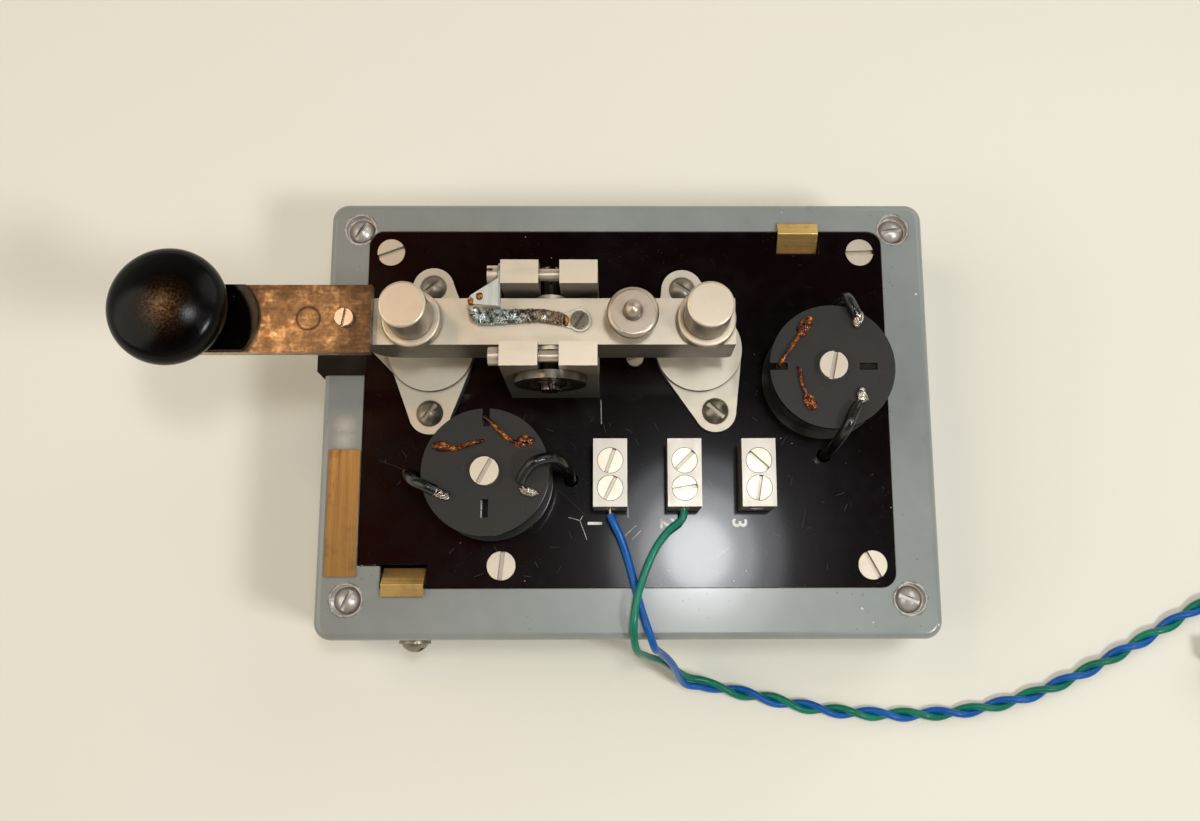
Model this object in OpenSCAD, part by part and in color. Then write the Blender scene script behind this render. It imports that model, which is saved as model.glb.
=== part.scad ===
/* [Case] */
// Length of the case from left to right
case_l = 178; // [174:1:200]
// Depth of the case from front to back
case_w = 129; // [126:1:140]
// Height of the case with its floor plate
case_h = 44; // [40:1:56]
// Thickness of the cast walls
wall_t = 4.5; // [3.5:0.5:5.5]
// Radius of the upright corners
case_corner_r = 5; // [4.5:0.5:7]
// Radius along the top edge
rim_round = 2; // [1:0.5:2.25]
// Thickness of the floor plate
floor_t = 3; // [2:0.5:4]
// Depth of the thick flange that the deck lies in
flange_t = 14; // [12:1:18]
// Width of the rim to the left of the deck
rim_left = 12; // [11.5:0.5:14]
// Width of the rim to the right of the deck
rim_right = 13; // [12:0.5:15]
// Width of the rim behind the deck
rim_rear = 9; // [8:0.5:10]
// Width of the rim in front of the deck
rim_front = 14.5; // [13:0.5:16]
// Width of the notch that the arm swings over
arm_notch_w = 15; // [12:1:18]
// Depth of the notch that the arm swings over
arm_notch_d = 3.5; // [2:0.5:3.5]
// How far the lip of the notch stands out
notch_lip = 3; // [1:0.5:4]
// Inset of the case screws from the ends
case_screw_inset = 9; // [8.5:0.5:10]
// Inset of the rear case screws from the back
rear_screw_inset = 8.2; // [8:0.1:9]
// Inset of the front case screws from the front
front_screw_inset = 11.1; // [10:0.1:12]

/* [Deck] */
// Thickness of the insulating deck
deck_t = 4; // [3:0.5:5]
// How far the deck lies below the rim
deck_drop = 0.5; // [0:0.1:1]
// Radius of the deck's corners
deck_corner_r = 4; // [3:0.5:5]
// Width of the ledge under the deck's edge
ledge_w = 4; // [3:0.5:5]
// Inset of the deck screws from the deck's edges
deck_screw_inset = 6.2; // [6:0.1:7]
// Place of the front left deck screw along the case
front_deck_screw_x = -36.3; // [-40:0.1:-30]

/* [Fulcrum] */
// Place of the pivot along the case
pivot_x = -21.1; // [-22.5:0.1:-19.5]
// Place of the lever's middle line from front to back
lever_y = 19; // [18:0.1:19.5]
// Height of the pivot above the deck
pivot_h = 30.5; // [29.5:0.5:31]
// Length of each pillar along the lever
pillar_l = 25.4; // [22:0.1:26]
// Thickness of each pillar
pillar_t = 6.35; // [5.5:0.05:6.5]
// Height of the pillars above the deck
pillar_h = 44.5; // [43.5:0.5:46]
// Gap between the pillars
pillar_gap = 15.6; // [15.4:0.1:16.2]
// Thickness of the bracket's sole
bracket_sole_t = 4.5; // [3:0.5:6]
// Width of the clamping slots in the pillars
clamp_slot_w = 5.5; // [4:0.5:6]
// Height of the clamp screws above the deck
clamp_screw_h = 41; // [40.5:0.5:41]
// Diameter of the disc nut on the front pivot
disc_nut_d = 19.4; // [16:0.1:20]
// Thickness of the disc nut
disc_nut_t = 2.2; // [1.8:0.1:2.8]

/* [Lever] */
// Width of the lever bar
lever_w = 12.7; // [12:0.1:13.2]
// Depth of the lever bar
lever_t = 15.9; // [14:0.1:16.5]
// Height of the lever's underside above the deck
lever_h = 18.9; // [18.5:0.1:20]
// Place of the lever's tail end along the case
lever_tail_x = 28.4; // [27.5:0.1:30]
// Place of the end of the full bar near the knob
lever_nose_x = -62; // [-63:0.1:-61.5]
// Radius of the nose under the bar
lever_nose_r = 8; // [6:0.5:9]
// Place of the end of the tongue under the arm
tongue_end_x = -91; // [-92:0.5:-89.5]
// Diameter of the bosses round the pivot
pivot_boss_d = 8; // [6:0.1:8.4]
// Width of the knob arm
arm_w = 18.4; // [17:0.1:19]
// Thickness of the knob arm
arm_t = 3.2; // [2.6:0.1:4]
// Place of the arm's end beside the front contact screw
arm_end_x = -68.3; // [-69:0.1:-67]
// Place of the rivet in the arm
arm_rivet_x = -85.2; // [-86:0.1:-84]
// Place of the screw in the arm
arm_screw_x = -75.1; // [-76:0.1:-74]

/* [Knob] */
// Place of the knob along the case
knob_x = -117.4; // [-120:0.1:-115]
// Diameter of the knob
knob_d = 30.4; // [28:0.1:34]
// Height of the knob above its foot
knob_h = 17.5; // [16:0.5:20]
// Thickness of the foot under the knob
foot_t = 1.5; // [1:0.5:3]
// Radius of the foot's rounded end
foot_end_r = 12.5; // [11:0.5:14]
// Place of the foot's rounded end
foot_end_x = -97.6; // [-99:0.1:-96]

/* [Contacts] */
// Place of the front contact along the case
front_contact_x = -57.7; // [-58:0.1:-57]
// Place of the back contact along the case
back_contact_x = 20.4; // [19.5:0.1:21]
// Diameter of the contact screws' heads
adjuster_d = 12.2; // [10:0.1:12.5]
// Height of the contact screws' heads
adjuster_h = 13.3; // [10:0.1:15]
// Diameter of the locknuts
locknut_d = 15.7; // [14:0.1:16]
// Thickness of the locknuts
locknut_t = 3.9; // [3:0.1:5]
// Diameter of the contact screws' shanks
contact_shank_d = 5; // [4:0.1:5.5]
// Gap of the open front contact
front_contact_gap = 0.9; // [0.6:0.05:1.2]
// Distance between the screws of a contact plate
plate_screw_pitch = 37.7; // [37:0.1:39]
// Thickness of the contact plates
plate_t = 2.4; // [2:0.1:3]
// Diameter of the contact discs
contact_disc_d = 25.4; // [23:0.1:26]
// Thickness of the contact discs
contact_disc_t = 2; // [1.5:0.1:2.5]
// Turn of the back contact plate in degrees
back_plate_turn = 14.2; // [10:0.1:16]

/* [Spring] */
// Place of the spring rod along the case
spring_x = 0.8; // [0:0.1:1.5]
// Diameter of the spring rod
spring_rod_d = 5; // [4:0.1:5.4]
// Diameter of the tension nut
spring_nut_d = 13.7; // [12:0.1:14]
// Height of the tension nut
spring_nut_h = 10.3; // [8:0.1:11]
// Wire diameter of the tension spring
spring_wire_d = 0.8; // [0.7:0.05:1]
// Coil radius of the tension spring
spring_coil_r = 2.5; // [2.2:0.1:2.8]
// Turns of the tension spring
spring_turns = 5; // [3:1:5]

/* [Terminals] */
// Place of the middle terminal along the case
terminal_x = 15.6; // [14:0.1:17]
// Pitch of the terminals
terminal_pitch = 20.8; // [19:0.1:22]
// Place of the terminals from front to back
terminal_y = -18.7; // [-20:0.1:-18]
// Width of a terminal block
terminal_w = 9.5; // [8.5:0.1:10.5]
// Length of a terminal block
terminal_l = 19.1; // [18:0.1:20]
// Height of a terminal block
terminal_h = 12.7; // [12:0.1:14]
// Diameter of the wire bore
wire_bore_d = 4.2; // [3.6:0.1:4.4]
// Depth of the wire bore
wire_bore_l = 10; // [8:0.5:10.5]
// Height of the wire bore above the deck
wire_bore_h = 6.4; // [6:0.1:6.8]

/* [Chokes] */
// Diameter of the choke bobbins
choke_d = 35; // [33:0.5:36]
// Height of the choke bobbins
choke_h = 20; // [16:0.5:22]
// Thickness of the bobbin flanges
choke_flange_t = 1.6; // [1.2:0.1:2.4]
// Diameter of the taped windings
winding_d = 31; // [28:0.5:32]
// Left choke along the case
choke_left_x = -39.3; // [-40:0.1:-38]
// Left choke from front to back
choke_left_y = -19.4; // [-20:0.1:-19]
// Right choke along the case
choke_right_x = 56.7; // [56:0.1:57.5]
// Right choke from front to back
choke_right_y = 9.9; // [9:0.1:11]

/* [Cover clips] */
// Width of the cover clips
clip_w = 12; // [10:0.5:12.5]
// Thickness of the clip strip
clip_t = 0.8; // [0.6:0.1:1]
// Middle of the rear clip along the case
rear_clip_x = 51.1; // [49:0.1:53]
// Middle of the front clip along the case
front_clip_x = -64; // [-65:0.1:-63]

/* [Leads] */
// Diameter of one insulated lead
lead_d = 2.2; // [1.8:0.1:2.4]
// Diameter over the twisted pair
pair_d = 4.4; // [3.6:0.1:4.8]
// Turns in each of the two layers of the coil
layer_turns = 2; // [1:1:3]
// Mean radius of the coil
coil_r = 23.4; // [22:0.1:26]
// Pitch of the turns across the coil
coil_pitch = 5.6; // [5.5:0.1:6]

/* [Hidden] */
$fn = 48;

// Clearances
thread_fit = 0.05;
shank_fit = 0.3;
running_fit = 0.06;
deck_fit = 0.25;
seat_gap = 0.3;
contact_touch = 0.1;
cut = 1;

// Levels
deck_z = case_h - deck_drop;
deck_under_z = deck_z - deck_t;
flange_z = case_h - flange_t;
lever_top = deck_z + lever_h + lever_t;
lever_under = deck_z + lever_h;
pivot_z = deck_z + pivot_h;
arm_top = lever_top + arm_t;
foot_top = arm_top + foot_t;

// The deck's edges
deck_x0 = -case_l / 2 + rim_left;
deck_x1 = case_l / 2 - rim_right;
deck_y0 = -case_w / 2 + rim_front;
deck_y1 = case_w / 2 - rim_rear;
deck_mid = [(deck_x0 + deck_x1) / 2, (deck_y0 + deck_y1) / 2, 0];

// Screw sizes
case_screw_d = 4.2;
case_head_d = 7.8;
case_head_h = 2.6;
case_bore_d = 8.8;
case_bore_h = 3;
deck_screw_d = 4;
deck_head_d = 8.2;
deck_head_h = 2.4;
plate_screw_d = 4;
plate_head_d = 7.8;
plate_head_h = 2.5;
small_screw_d = 2.4;
small_head_d = 4.8;
small_head_h = 1.6;
nut_af = 7;
nut_t = 3;
nut_under_z = deck_under_z - nut_t;
stud_out = 1.5;
through_deck = deck_t + nut_t + stud_out;
slot_share = 0.16;

case_screw_spots = [
    [-case_l / 2 + case_screw_inset, case_w / 2 - rear_screw_inset, 58],
    [case_l / 2 - case_screw_inset, case_w / 2 - rear_screw_inset, 8],
    [-case_l / 2 + case_screw_inset, -case_w / 2 + front_screw_inset, 66],
    [case_l / 2 - case_screw_inset, -case_w / 2 + front_screw_inset, 158]
];
deck_screw_spots = [
    [deck_x0 + deck_screw_inset, deck_y1 - deck_screw_inset, 20],
    [deck_x1 - deck_screw_inset, deck_y1 - deck_screw_inset, 2],
    [deck_x1 - deck_screw_inset, deck_y0 + deck_screw_inset, 118],
    [front_deck_screw_x, deck_y0 + deck_screw_inset, 84]
];

// Clips and their pockets
clip_room = 0.6;
clip_pocket_w = clip_w + 2 * clip_room;
clip_pocket_d = 6.8;
clip_leg_h = 12.5;
clip_elbow_in = 5.4;
clip_elbow_h = 3;
clip_crest_in = 0.9;
clip_crest_h = 1.8;
clip_lip_out = 2.1;
clip_lip_h = 1.3;
clip_rivet_d = 2.4;
clip_rivet_head_d = 3.8;
clip_rivet_h = 10.6;
clip_back_gap = 0.3;
paint_corner_d = 6.4;
earth_drop = 12;
notch_lip_t = 6;
label_w = 9;
label_l = 36.3;
label_t = 0.6;
label_gap = 0.4;
label_front = 17.7;

// The fulcrum
pillar_front_y = lever_y - pillar_gap / 2 - pillar_t;
pillar_back_y = lever_y + pillar_gap / 2;
pivot_screw_d = 6;
trunnion_d = 3.2;
trunnion_l = 4;
pivot_out = 4;
rear_pivot_out = 1.4;
clamp_screw_d = 3.2;
clamp_head_d = 5;
clamp_head_l = 3;
clamp_screw_l = 22;
bracket_screw_reach = 9;
bracket_screw_len = bracket_sole_t - 1;

// The lever's seats
boss_gap = 0.3;
boss_out = pillar_gap / 2 - lever_w / 2 - boss_gap;
rod_room = 0.5;
tongue_t = lever_t - lever_nose_r;
tail_round = 2;
ring_x = -13.2;
ring_d = 5.9;
ring_t = 0.7;
ring_screw_l = 5;
arm_rivet_d = 6.3;
arm_screw_l = 8;

// The contacts
anvil_d = 3.4;
anvil_h = 1.2;
disc_top = deck_z + plate_t + contact_disc_t;
anvil_top = disc_top + anvil_h;
tip_d = 3.2;
tip_h = 2.2;
nut_float = 0.1;
plate_lobe_r = 6.1;
plate_y = 18.7;
front_plate_x = -57.5;
back_plate_x = 20.7;
tongue_reach = 19;
tongue_turn = 155;
front_disc_spot = [front_plate_x, plate_y];
back_disc_spot = [back_plate_x, plate_y];

// The tension spring
spring_stem_d = 3;
spring_stem_h = 5.5;
spring_rod_up = 4.6;
spring_rod_foot = deck_z + 12.5;
spring_hook_z = spring_rod_foot + 1.6;
spring_hook_bore = 1.6;
anchor_x = 2;
anchor_y = 16.1;
anchor_neck_d = 2.4;
anchor_neck_h = 2.6;
anchor_head_d = 5;
anchor_head_h = 1.5;
nut_rim_t = 3;
nut_hub_d = 8.4;

// The terminals
terminal_screw_d = 3.4;
terminal_head_d = 7;
terminal_head_h = 2.4;
terminal_screw_back = 6.2;
terminal_screw_front = 5.2;
terminal_slots = [[70, 64], [45, 10], [-42, 80]];
bare_d = 1.2;
clamp_foot_gap = 0.1;

// The chokes
choke_spots = [[choke_left_x, choke_left_y], [choke_right_x, choke_right_y]];
core_d = 13;
winding_gap = 0.15;
choke_screw_d = 4;
choke_head_d = 7.8;
choke_head_h = 2.2;
choke_slot_w = 2;
choke_slot_in = 5;
sleeve_d = 2.3;
sleeve_hole_d = 4.2;

// Holes in the deck for the choke leads, with the flange points that they run to
lead_holes = [[-62.1, -18.4], [-16.5, -19.3], [56.9, -12.2], [61, 31.4]];

// Curve helpers
function unit(v) = v / norm(v);
function bend(p, i, k, t) =
    let (
        a = p[max(i - 1, 0)],
        b = p[i],
        c = p[min(i + 1, k)],
        d = p[min(i + 2, k)]
    )
    0.5 * (2 * b + (c - a) * t + (2 * a - 5 * b + 4 * c - d) * t * t + (3 * b - a - 3 * c + d) * t * t * t);
function smooth(p, steps) =
    let (k = len(p) - 1)
    concat([for (i = [0:k - 1]) for (s = [0:steps - 1]) bend(p, i, k, s / steps)], [p[k]]);
function headings(p) =
    [for (i = [0:len(p) - 1]) unit(p[min(i + 1, len(p) - 1)] - p[max(i - 1, 0)])];
function across(n, t) = unit(n - (n * t) * t);
function frames(t, n, i = 0) =
    i == len(t) ? [] : let (m = across(n, t[i])) concat([m], frames(t, m, i + 1));
function run_length(p) = len(p) < 2 ? 0 : norm(p[1] - p[0]) + run_length([for (i = [1:len(p) - 1]) p[i]]);

function least_gap(p, apart) =
    min([for (i = [0:len(p) - 1 - apart]) for (j = [i + apart:len(p) - 1]) norm(p[j] - p[i])]);

// A round tube of one skin along the points p
module tube(p, d, sides, first = [0, 0, 1]) {
    t = headings(p);
    n = frames(t, first);
    last = len(p) - 1;
    ring_points = [
        for (i = [0:last]) for (j = [0:sides - 1])
            p[i] + d / 2 * (cos(360 * j / sides) * n[i] + sin(360 * j / sides) * cross(t[i], n[i]))
    ];
    skin = [
        for (i = [0:last - 1]) for (j = [0:sides - 1])
            let (a = i * sides + j, b = i * sides + (j + 1) % sides)
            each [[a, a + sides, b], [b, a + sides, b + sides]]
    ];
    near_cap = [for (j = [1:sides - 2]) [0, j, j + 1]];
    far_cap = [for (j = [1:sides - 2]) [last * sides, last * sides + j + 1, last * sides + j]];
    polyhedron(ring_points, concat(skin, near_cap, far_cap));
}

// Shared shapes
module rounded_rect(x0, x1, y0, y1, r) {
    translate([x0 + r, y0]) square([x1 - x0 - 2 * r, y1 - y0]);
    translate([x0, y0 + r]) square([x1 - x0, y1 - y0 - 2 * r]);
    for (x = [x0 + r, x1 - r]) {
        for (y = [y0 + r, y1 - r]) {
            translate([x, y]) circle(r);
        }
    }
}

module top_rounded(w, h, r) {
    translate([-w / 2, 0]) square([w, h - r]);
    translate([-w / 2 + r, 0]) square([w - 2 * r, h]);
    for (s = [-1, 1]) {
        translate([s * (w / 2 - r), h - r]) circle(r);
    }
}

// A block with upright corners of radius cr and a top edge rounded to er
module soft_block(l, w, h, cr, er) {
    rotate([90, 0, 0]) translate([0, 0, -(w / 2 - cr)]) linear_extrude(w - 2 * cr) top_rounded(l, h, er);
    rotate([90, 0, 90]) translate([0, 0, -(l / 2 - cr)]) linear_extrude(l - 2 * cr) top_rounded(w, h, er);
    for (x = [-1, 1]) {
        for (y = [-1, 1]) {
            translate([x * (l / 2 - cr), y * (w / 2 - cr), 0]) rotate_extrude() {
                square([cr - er, h]);
                square([cr, h - er]);
                translate([cr - er, h - er]) circle(er);
            }
        }
    }
}

// A plate's end disc, joined to its big disc by straight sides just inside their tangents
module lobe(big, small, reach, t) {
    a = acos((big - small) / reach);
    near = big - 0.04;
    far = small - 0.04;
    translate([reach, 0, 0]) cylinder(r = small, h = t);
    linear_extrude(t) polygon([
        [0, 0],
        [near * cos(a), near * sin(a)],
        [reach + far * cos(a), far * sin(a)],
        [reach + far * cos(a), -far * sin(a)],
        [near * cos(a), -near * sin(a)]
    ]);
}

// A screw with a flat topped head, its seat at z = 0
module cheese_screw(head_d, head_h, shank_d, shank_l, turn) {
    difference() {
        cylinder(d = head_d, h = head_h);
        translate([0, 0, head_h]) rotate([0, 0, turn])
            cube([head_d + cut, head_d * slot_share, head_h], center = true);
    }
    translate([0, 0, -shank_l]) cylinder(d = shank_d, h = shank_l);
}

// A screw with a domed head, its seat at z = 0
module round_screw(head_d, head_h, shank_d, shank_l, turn) {
    dome_r = (head_d * head_d / 4 + head_h * head_h) / (2 * head_h);
    difference() {
        intersection() {
            cylinder(d = head_d, h = head_h + cut);
            translate([0, 0, head_h - dome_r]) sphere(dome_r, $fn = 96);
        }
        translate([0, 0, head_h]) rotate([0, 0, turn])
            cube([head_d + cut, head_d * slot_share, head_h], center = true);
    }
    translate([0, 0, -shank_l]) cylinder(d = shank_d, h = shank_l);
}

// A strip of constant thickness along the points p of a profile
module bent_strip(p, t) {
    for (i = [0:len(p) - 2]) {
        step = p[i + 1] - p[i];
        translate(p[i]) rotate(atan2(step[1], step[0])) translate([0, -t / 2]) square([norm(step), t]);
    }
    for (q = p) {
        translate(q) circle(d = t);
    }
}

module case_pocket(x, y0, y1) {
    translate([x - clip_pocket_w / 2, y0, flange_z - cut])
        cube([clip_pocket_w, y1 - y0, flange_t + 2 * cut]);
}

module case() {
    deck_room = deck_fit + deck_drop + deck_t;
    notch_y0 = lever_y - arm_notch_w / 2;
    notch_floor = case_h - arm_notch_d;
    color("#8d9691") difference() {
        union() {
            translate([0, 0, floor_t])
                soft_block(case_l, case_w, case_h - floor_t, case_corner_r, rim_round);
            translate([-case_l / 2, notch_y0, notch_floor - notch_lip_t]) linear_extrude(notch_lip_t) polygon([
                [cut, -cut], [0, -cut], [-notch_lip, notch_lip - cut],
                [-notch_lip, arm_notch_w - notch_lip + cut], [0, arm_notch_w + cut], [cut, arm_notch_w + cut]
            ]);
        }
        translate([0, 0, deck_under_z]) linear_extrude(deck_room + cut) difference() {
            rounded_rect(deck_x0 - deck_fit, deck_x1 + deck_fit, deck_y0 - deck_fit, deck_y1 + deck_fit,
                deck_corner_r + deck_fit);
            translate([deck_x0 - 2 * deck_fit, deck_y0 - 2 * deck_fit]) square([
                front_clip_x - clip_pocket_w / 2 - deck_x0 + 2 * deck_fit,
                paint_corner_d + deck_fit
            ]);
        }
        translate([0, 0, flange_z - cut]) linear_extrude(flange_t) difference() {
            rounded_rect(deck_x0 + ledge_w, deck_x1 - ledge_w, deck_y0 + ledge_w, deck_y1 - ledge_w,
                deck_corner_r);
            for (s = deck_screw_spots) {
                translate([s[0], s[1]]) circle(deck_screw_inset);
            }
        }
        translate([0, 0, floor_t - cut]) linear_extrude(flange_z - floor_t + cut) difference() {
            rounded_rect(-case_l / 2 + wall_t, case_l / 2 - wall_t, -case_w / 2 + wall_t,
                case_w / 2 - wall_t, case_corner_r);
            for (s = case_screw_spots) {
                translate([s[0], s[1]]) circle(case_screw_inset - wall_t / 2);
            }
        }
        case_pocket(rear_clip_x, deck_y1 - clip_pocket_d, deck_y1);
        case_pocket(front_clip_x, deck_y0, deck_y0 + clip_pocket_d);
        translate([-case_l / 2 - notch_lip - cut, notch_y0, notch_floor])
            cube([deck_x0 + case_l / 2 + notch_lip + cut, arm_notch_w, arm_notch_d + cut]);
        for (s = case_screw_spots) {
            translate([s[0], s[1], floor_t - cut])
                cylinder(d = case_screw_d + 2 * thread_fit, h = case_h);
            translate([s[0], s[1], case_h - case_bore_h]) cylinder(d = case_bore_d, h = case_bore_h + cut);
        }
        for (s = deck_screw_spots) {
            translate([s[0], s[1], flange_z - cut])
                cylinder(d = deck_screw_d + 2 * thread_fit, h = flange_t);
        }
        translate([earth_x, -case_w / 2 - cut, earth_z]) rotate([-90, 0, 0])
            cylinder(d = plate_screw_d + 2 * thread_fit, h = wall_t + 4 * cut);
        clip_rivet_bores();
    }
}
earth_x = -61.9;
earth_z = case_h - earth_drop;

module clip_rivet_bores() {
    translate([rear_clip_x, deck_y1 - cut, deck_z - clip_rivet_h]) rotate([-90, 0, 0])
        cylinder(d = clip_rivet_d + 2 * thread_fit, h = clip_rivet_depth + cut);
    translate([front_clip_x, deck_y0 + cut, deck_z - clip_rivet_h]) rotate([90, 0, 0])
        cylinder(d = clip_rivet_d + 2 * thread_fit, h = clip_rivet_depth + cut);
}
clip_rivet_depth = 4;

module floor_plate() {
    color("#6f7672") difference() {
        linear_extrude(floor_t)
            rounded_rect(-case_l / 2, case_l / 2, -case_w / 2, case_w / 2, case_corner_r);
        for (s = case_screw_spots) {
            translate([s[0], s[1], -cut]) cylinder(d = case_screw_d + 2 * thread_fit, h = floor_t + 2 * cut);
        }
    }
}

// Every hole that goes through the deck
module deck_holes() {
    for (s = plate_screw_spots) {
        translate([s[0], s[1]]) circle(d = plate_screw_d + 2 * thread_fit);
    }
    for (s = bracket_screw_spots) {
        translate([s[0], s[1]]) circle(d = plate_screw_d + 2 * thread_fit);
    }
    for (x = terminal_xs) {
        translate([x, terminal_y + terminal_l / 2 - terminal_screw_back])
            circle(d = terminal_screw_d + 2 * thread_fit);
    }
    for (s = choke_spots) {
        translate(s) circle(d = choke_screw_d + 2 * thread_fit);
    }
    for (s = lead_holes) {
        translate(s) circle(d = sleeve_hole_d);
    }
    translate([anchor_x, anchor_y]) circle(d = anchor_neck_d + 2 * thread_fit);
}
terminal_xs = [terminal_x - terminal_pitch, terminal_x, terminal_x + terminal_pitch];
bracket_screw_spots = [[pivot_x - 8, lever_y], [pivot_x + 8, lever_y]];

function plate_ends(x, turn) = [
    for (s = [1, -1]) [
        x - s * plate_screw_pitch / 2 * sin(turn),
        plate_y + s * plate_screw_pitch / 2 * cos(turn)
    ]
];
plate_screw_spots = concat(plate_ends(front_plate_x, 0), plate_ends(back_plate_x, back_plate_turn));

module deck_plate() {
    notch_x1 = front_clip_x + clip_pocket_w / 2;
    color("#1b1614") difference() {
        translate([0, 0, deck_under_z]) linear_extrude(deck_t) difference() {
            rounded_rect(deck_x0, deck_x1, deck_y0, deck_y1, deck_corner_r);
            translate([deck_x0 - cut, deck_y0 - cut])
                square([notch_x1 - deck_x0 + cut, clip_pocket_d + cut]);
            translate([rear_clip_x - clip_pocket_w / 2, deck_y1 - clip_pocket_d])
                square([clip_pocket_w, clip_pocket_d + cut]);
            deck_holes();
            for (s = deck_screw_spots) {
                translate([s[0], s[1]]) circle(d = deck_screw_d + shank_fit);
            }
        }
        for (s = deck_screw_spots) {
            translate([s[0], s[1], deck_z - deck_head_h])
                cylinder(d = deck_head_d + shank_fit, h = deck_head_h + cut);
        }
    }
}

module case_screws() {
    color("#b9b6ae") for (s = case_screw_spots) {
        translate([s[0], s[1], case_h - case_bore_h])
            round_screw(case_head_d, case_head_h, case_screw_d, case_h - case_bore_h - 0.5, s[2]);
    }
}

module deck_screws() {
    seat_z = deck_z - deck_head_h;
    color("#cfccc4") for (s = deck_screw_spots) {
        translate([s[0], s[1], seat_z])
            cheese_screw(deck_head_d, deck_head_h + 0.1, deck_screw_d, seat_z - flange_z - 1, s[2]);
    }
}

module earth_screw() {
    washer_t = 1;
    color("#b8a98c") translate([earth_x, -case_w / 2, earth_z]) rotate([90, 0, 0]) {
        difference() {
            cylinder(d = plate_head_d + 1.4, h = washer_t);
            translate([0, 0, -cut]) cylinder(d = plate_screw_d + 2 * thread_fit, h = washer_t + 2 * cut);
        }
        translate([0, 0, washer_t]) round_screw(plate_head_d, plate_head_h, plate_screw_d, wall_t + 3, 35);
    }
}

module label_strip() {
    color("#b08d3c") translate([deck_x0 - label_w - label_gap, label_front - case_w / 2, case_h])
        cube([label_w, label_l, label_t]);
}

// A clip that leans on the flange wall at y = 0, with the deck on its -Y side
module cover_clip() {
    leg_y = -clip_t / 2 - clip_back_gap;
    rotate([90, 0, 90]) translate([0, 0, -clip_w / 2]) difference() {
        linear_extrude(clip_w) bent_strip([
            [leg_y, -clip_leg_h],
            [leg_y, -clip_elbow_h - clip_elbow_in],
            [-clip_elbow_in, -clip_elbow_h],
            [-clip_crest_in, clip_crest_h],
            [clip_lip_out, clip_lip_h]
        ], clip_t);
        translate([leg_y - clip_t, -clip_rivet_h, clip_w / 2]) rotate([0, 90, 0])
            cylinder(d = clip_rivet_d + shank_fit, h = 3 * clip_t);
    }
}

module front_cover_clip() {
    color("#c29a45") translate([front_clip_x, deck_y0, deck_z]) rotate([0, 0, 180]) cover_clip();
}

module rear_cover_clip() {
    color("#c29a45") translate([rear_clip_x, deck_y1, deck_z]) cover_clip();
}

module clip_rivet() {
    head_h = 0.8;
    head_gap = seat_gap;
    translate([0, -clip_back_gap - clip_t - head_gap, -clip_rivet_h]) rotate([90, 0, 0])
        cylinder(d = clip_rivet_head_d, h = head_h);
    translate([0, clip_rivet_depth - 0.2, -clip_rivet_h]) rotate([90, 0, 0])
        cylinder(d = clip_rivet_d, h = clip_rivet_depth - 0.2 + clip_back_gap + clip_t + head_gap);
}

module clip_rivets() {
    color("#9c8a5a") {
        translate([front_clip_x, deck_y0, deck_z]) rotate([0, 0, 180]) clip_rivet();
        translate([rear_clip_x, deck_y1, deck_z]) clip_rivet();
    }
}

module fulcrum_bracket() {
    color("#d2cfc6") difference() {
        union() {
            translate([pivot_x - pillar_l / 2, pillar_front_y, deck_z])
                cube([pillar_l, pillar_gap + 2 * pillar_t, bracket_sole_t]);
            for (y = [pillar_front_y, pillar_back_y]) {
                translate([pivot_x - pillar_l / 2, y, deck_z]) cube([pillar_l, pillar_t, pillar_h]);
            }
        }
        translate([pivot_x - clamp_slot_w / 2, pillar_front_y - cut, pivot_z])
            cube([clamp_slot_w, pillar_gap + 2 * pillar_t + 2 * cut, pillar_h]);
        translate([pivot_x, pillar_front_y - cut, pivot_z]) rotate([-90, 0, 0])
            cylinder(d = pivot_screw_d + 2 * thread_fit, h = pillar_gap + 2 * pillar_t + 2 * cut);
        for (y = [pillar_front_y + pillar_t / 2, pillar_back_y + pillar_t / 2]) {
            translate([pivot_x - pillar_l / 2 - cut, y, deck_z + clamp_screw_h]) rotate([0, 90, 0])
                cylinder(d = clamp_screw_d + 2 * thread_fit, h = clamp_screw_l + cut + 1);
        }
        for (s = bracket_screw_spots) {
            translate([s[0], s[1], deck_z - cut])
                cylinder(d = plate_screw_d + 2 * thread_fit, h = bracket_screw_len + cut + 0.5);
        }
    }
}

module bracket_screws() {
    color("#b9b6ae") for (s = bracket_screw_spots) {
        translate([s[0], s[1], deck_under_z]) rotate([180, 0, 0]) {
            cheese_screw(plate_head_d, plate_head_h, plate_screw_d, deck_t + bracket_screw_len, 30);
        }
    }
}

module clamp_screws() {
    color("#c4c0b6") for (y = [pillar_front_y + pillar_t / 2, pillar_back_y + pillar_t / 2]) {
        lug = y > lever_y ? lug_t : 0;
        translate([pivot_x - pillar_l / 2 - lug, y, deck_z + clamp_screw_h]) rotate([0, -90, 0])
            cheese_screw(clamp_head_d, clamp_head_l, clamp_screw_d, clamp_screw_l, y > lever_y ? 20 : 75);
    }
}
lug_t = 0.6;

module pivot_screw(out, screw_turn) {
    reach = pillar_gap / 2 - lever_w / 2 - boss_out;
    difference() {
        union() {
            cylinder(d = pivot_screw_d, h = out + pillar_t + 0.1);
            translate([0, 0, out]) cylinder(d = trunnion_d, h = pillar_t + reach + trunnion_l);
        }
        rotate([0, 0, screw_turn]) cube([pivot_screw_d + cut, 1, 2], center = true);
    }
}

module front_pivot_screw() {
    color("#c9c5bb") translate([pivot_x, pillar_front_y - pivot_out, pivot_z]) rotate([-90, 0, 0])
        pivot_screw(pivot_out, 30);
}

module rear_pivot_screw() {
    color("#c9c5bb") translate([pivot_x, pillar_back_y + pillar_t + rear_pivot_out, pivot_z])
        rotate([90, 0, 0]) pivot_screw(rear_pivot_out, 75);
}

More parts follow.
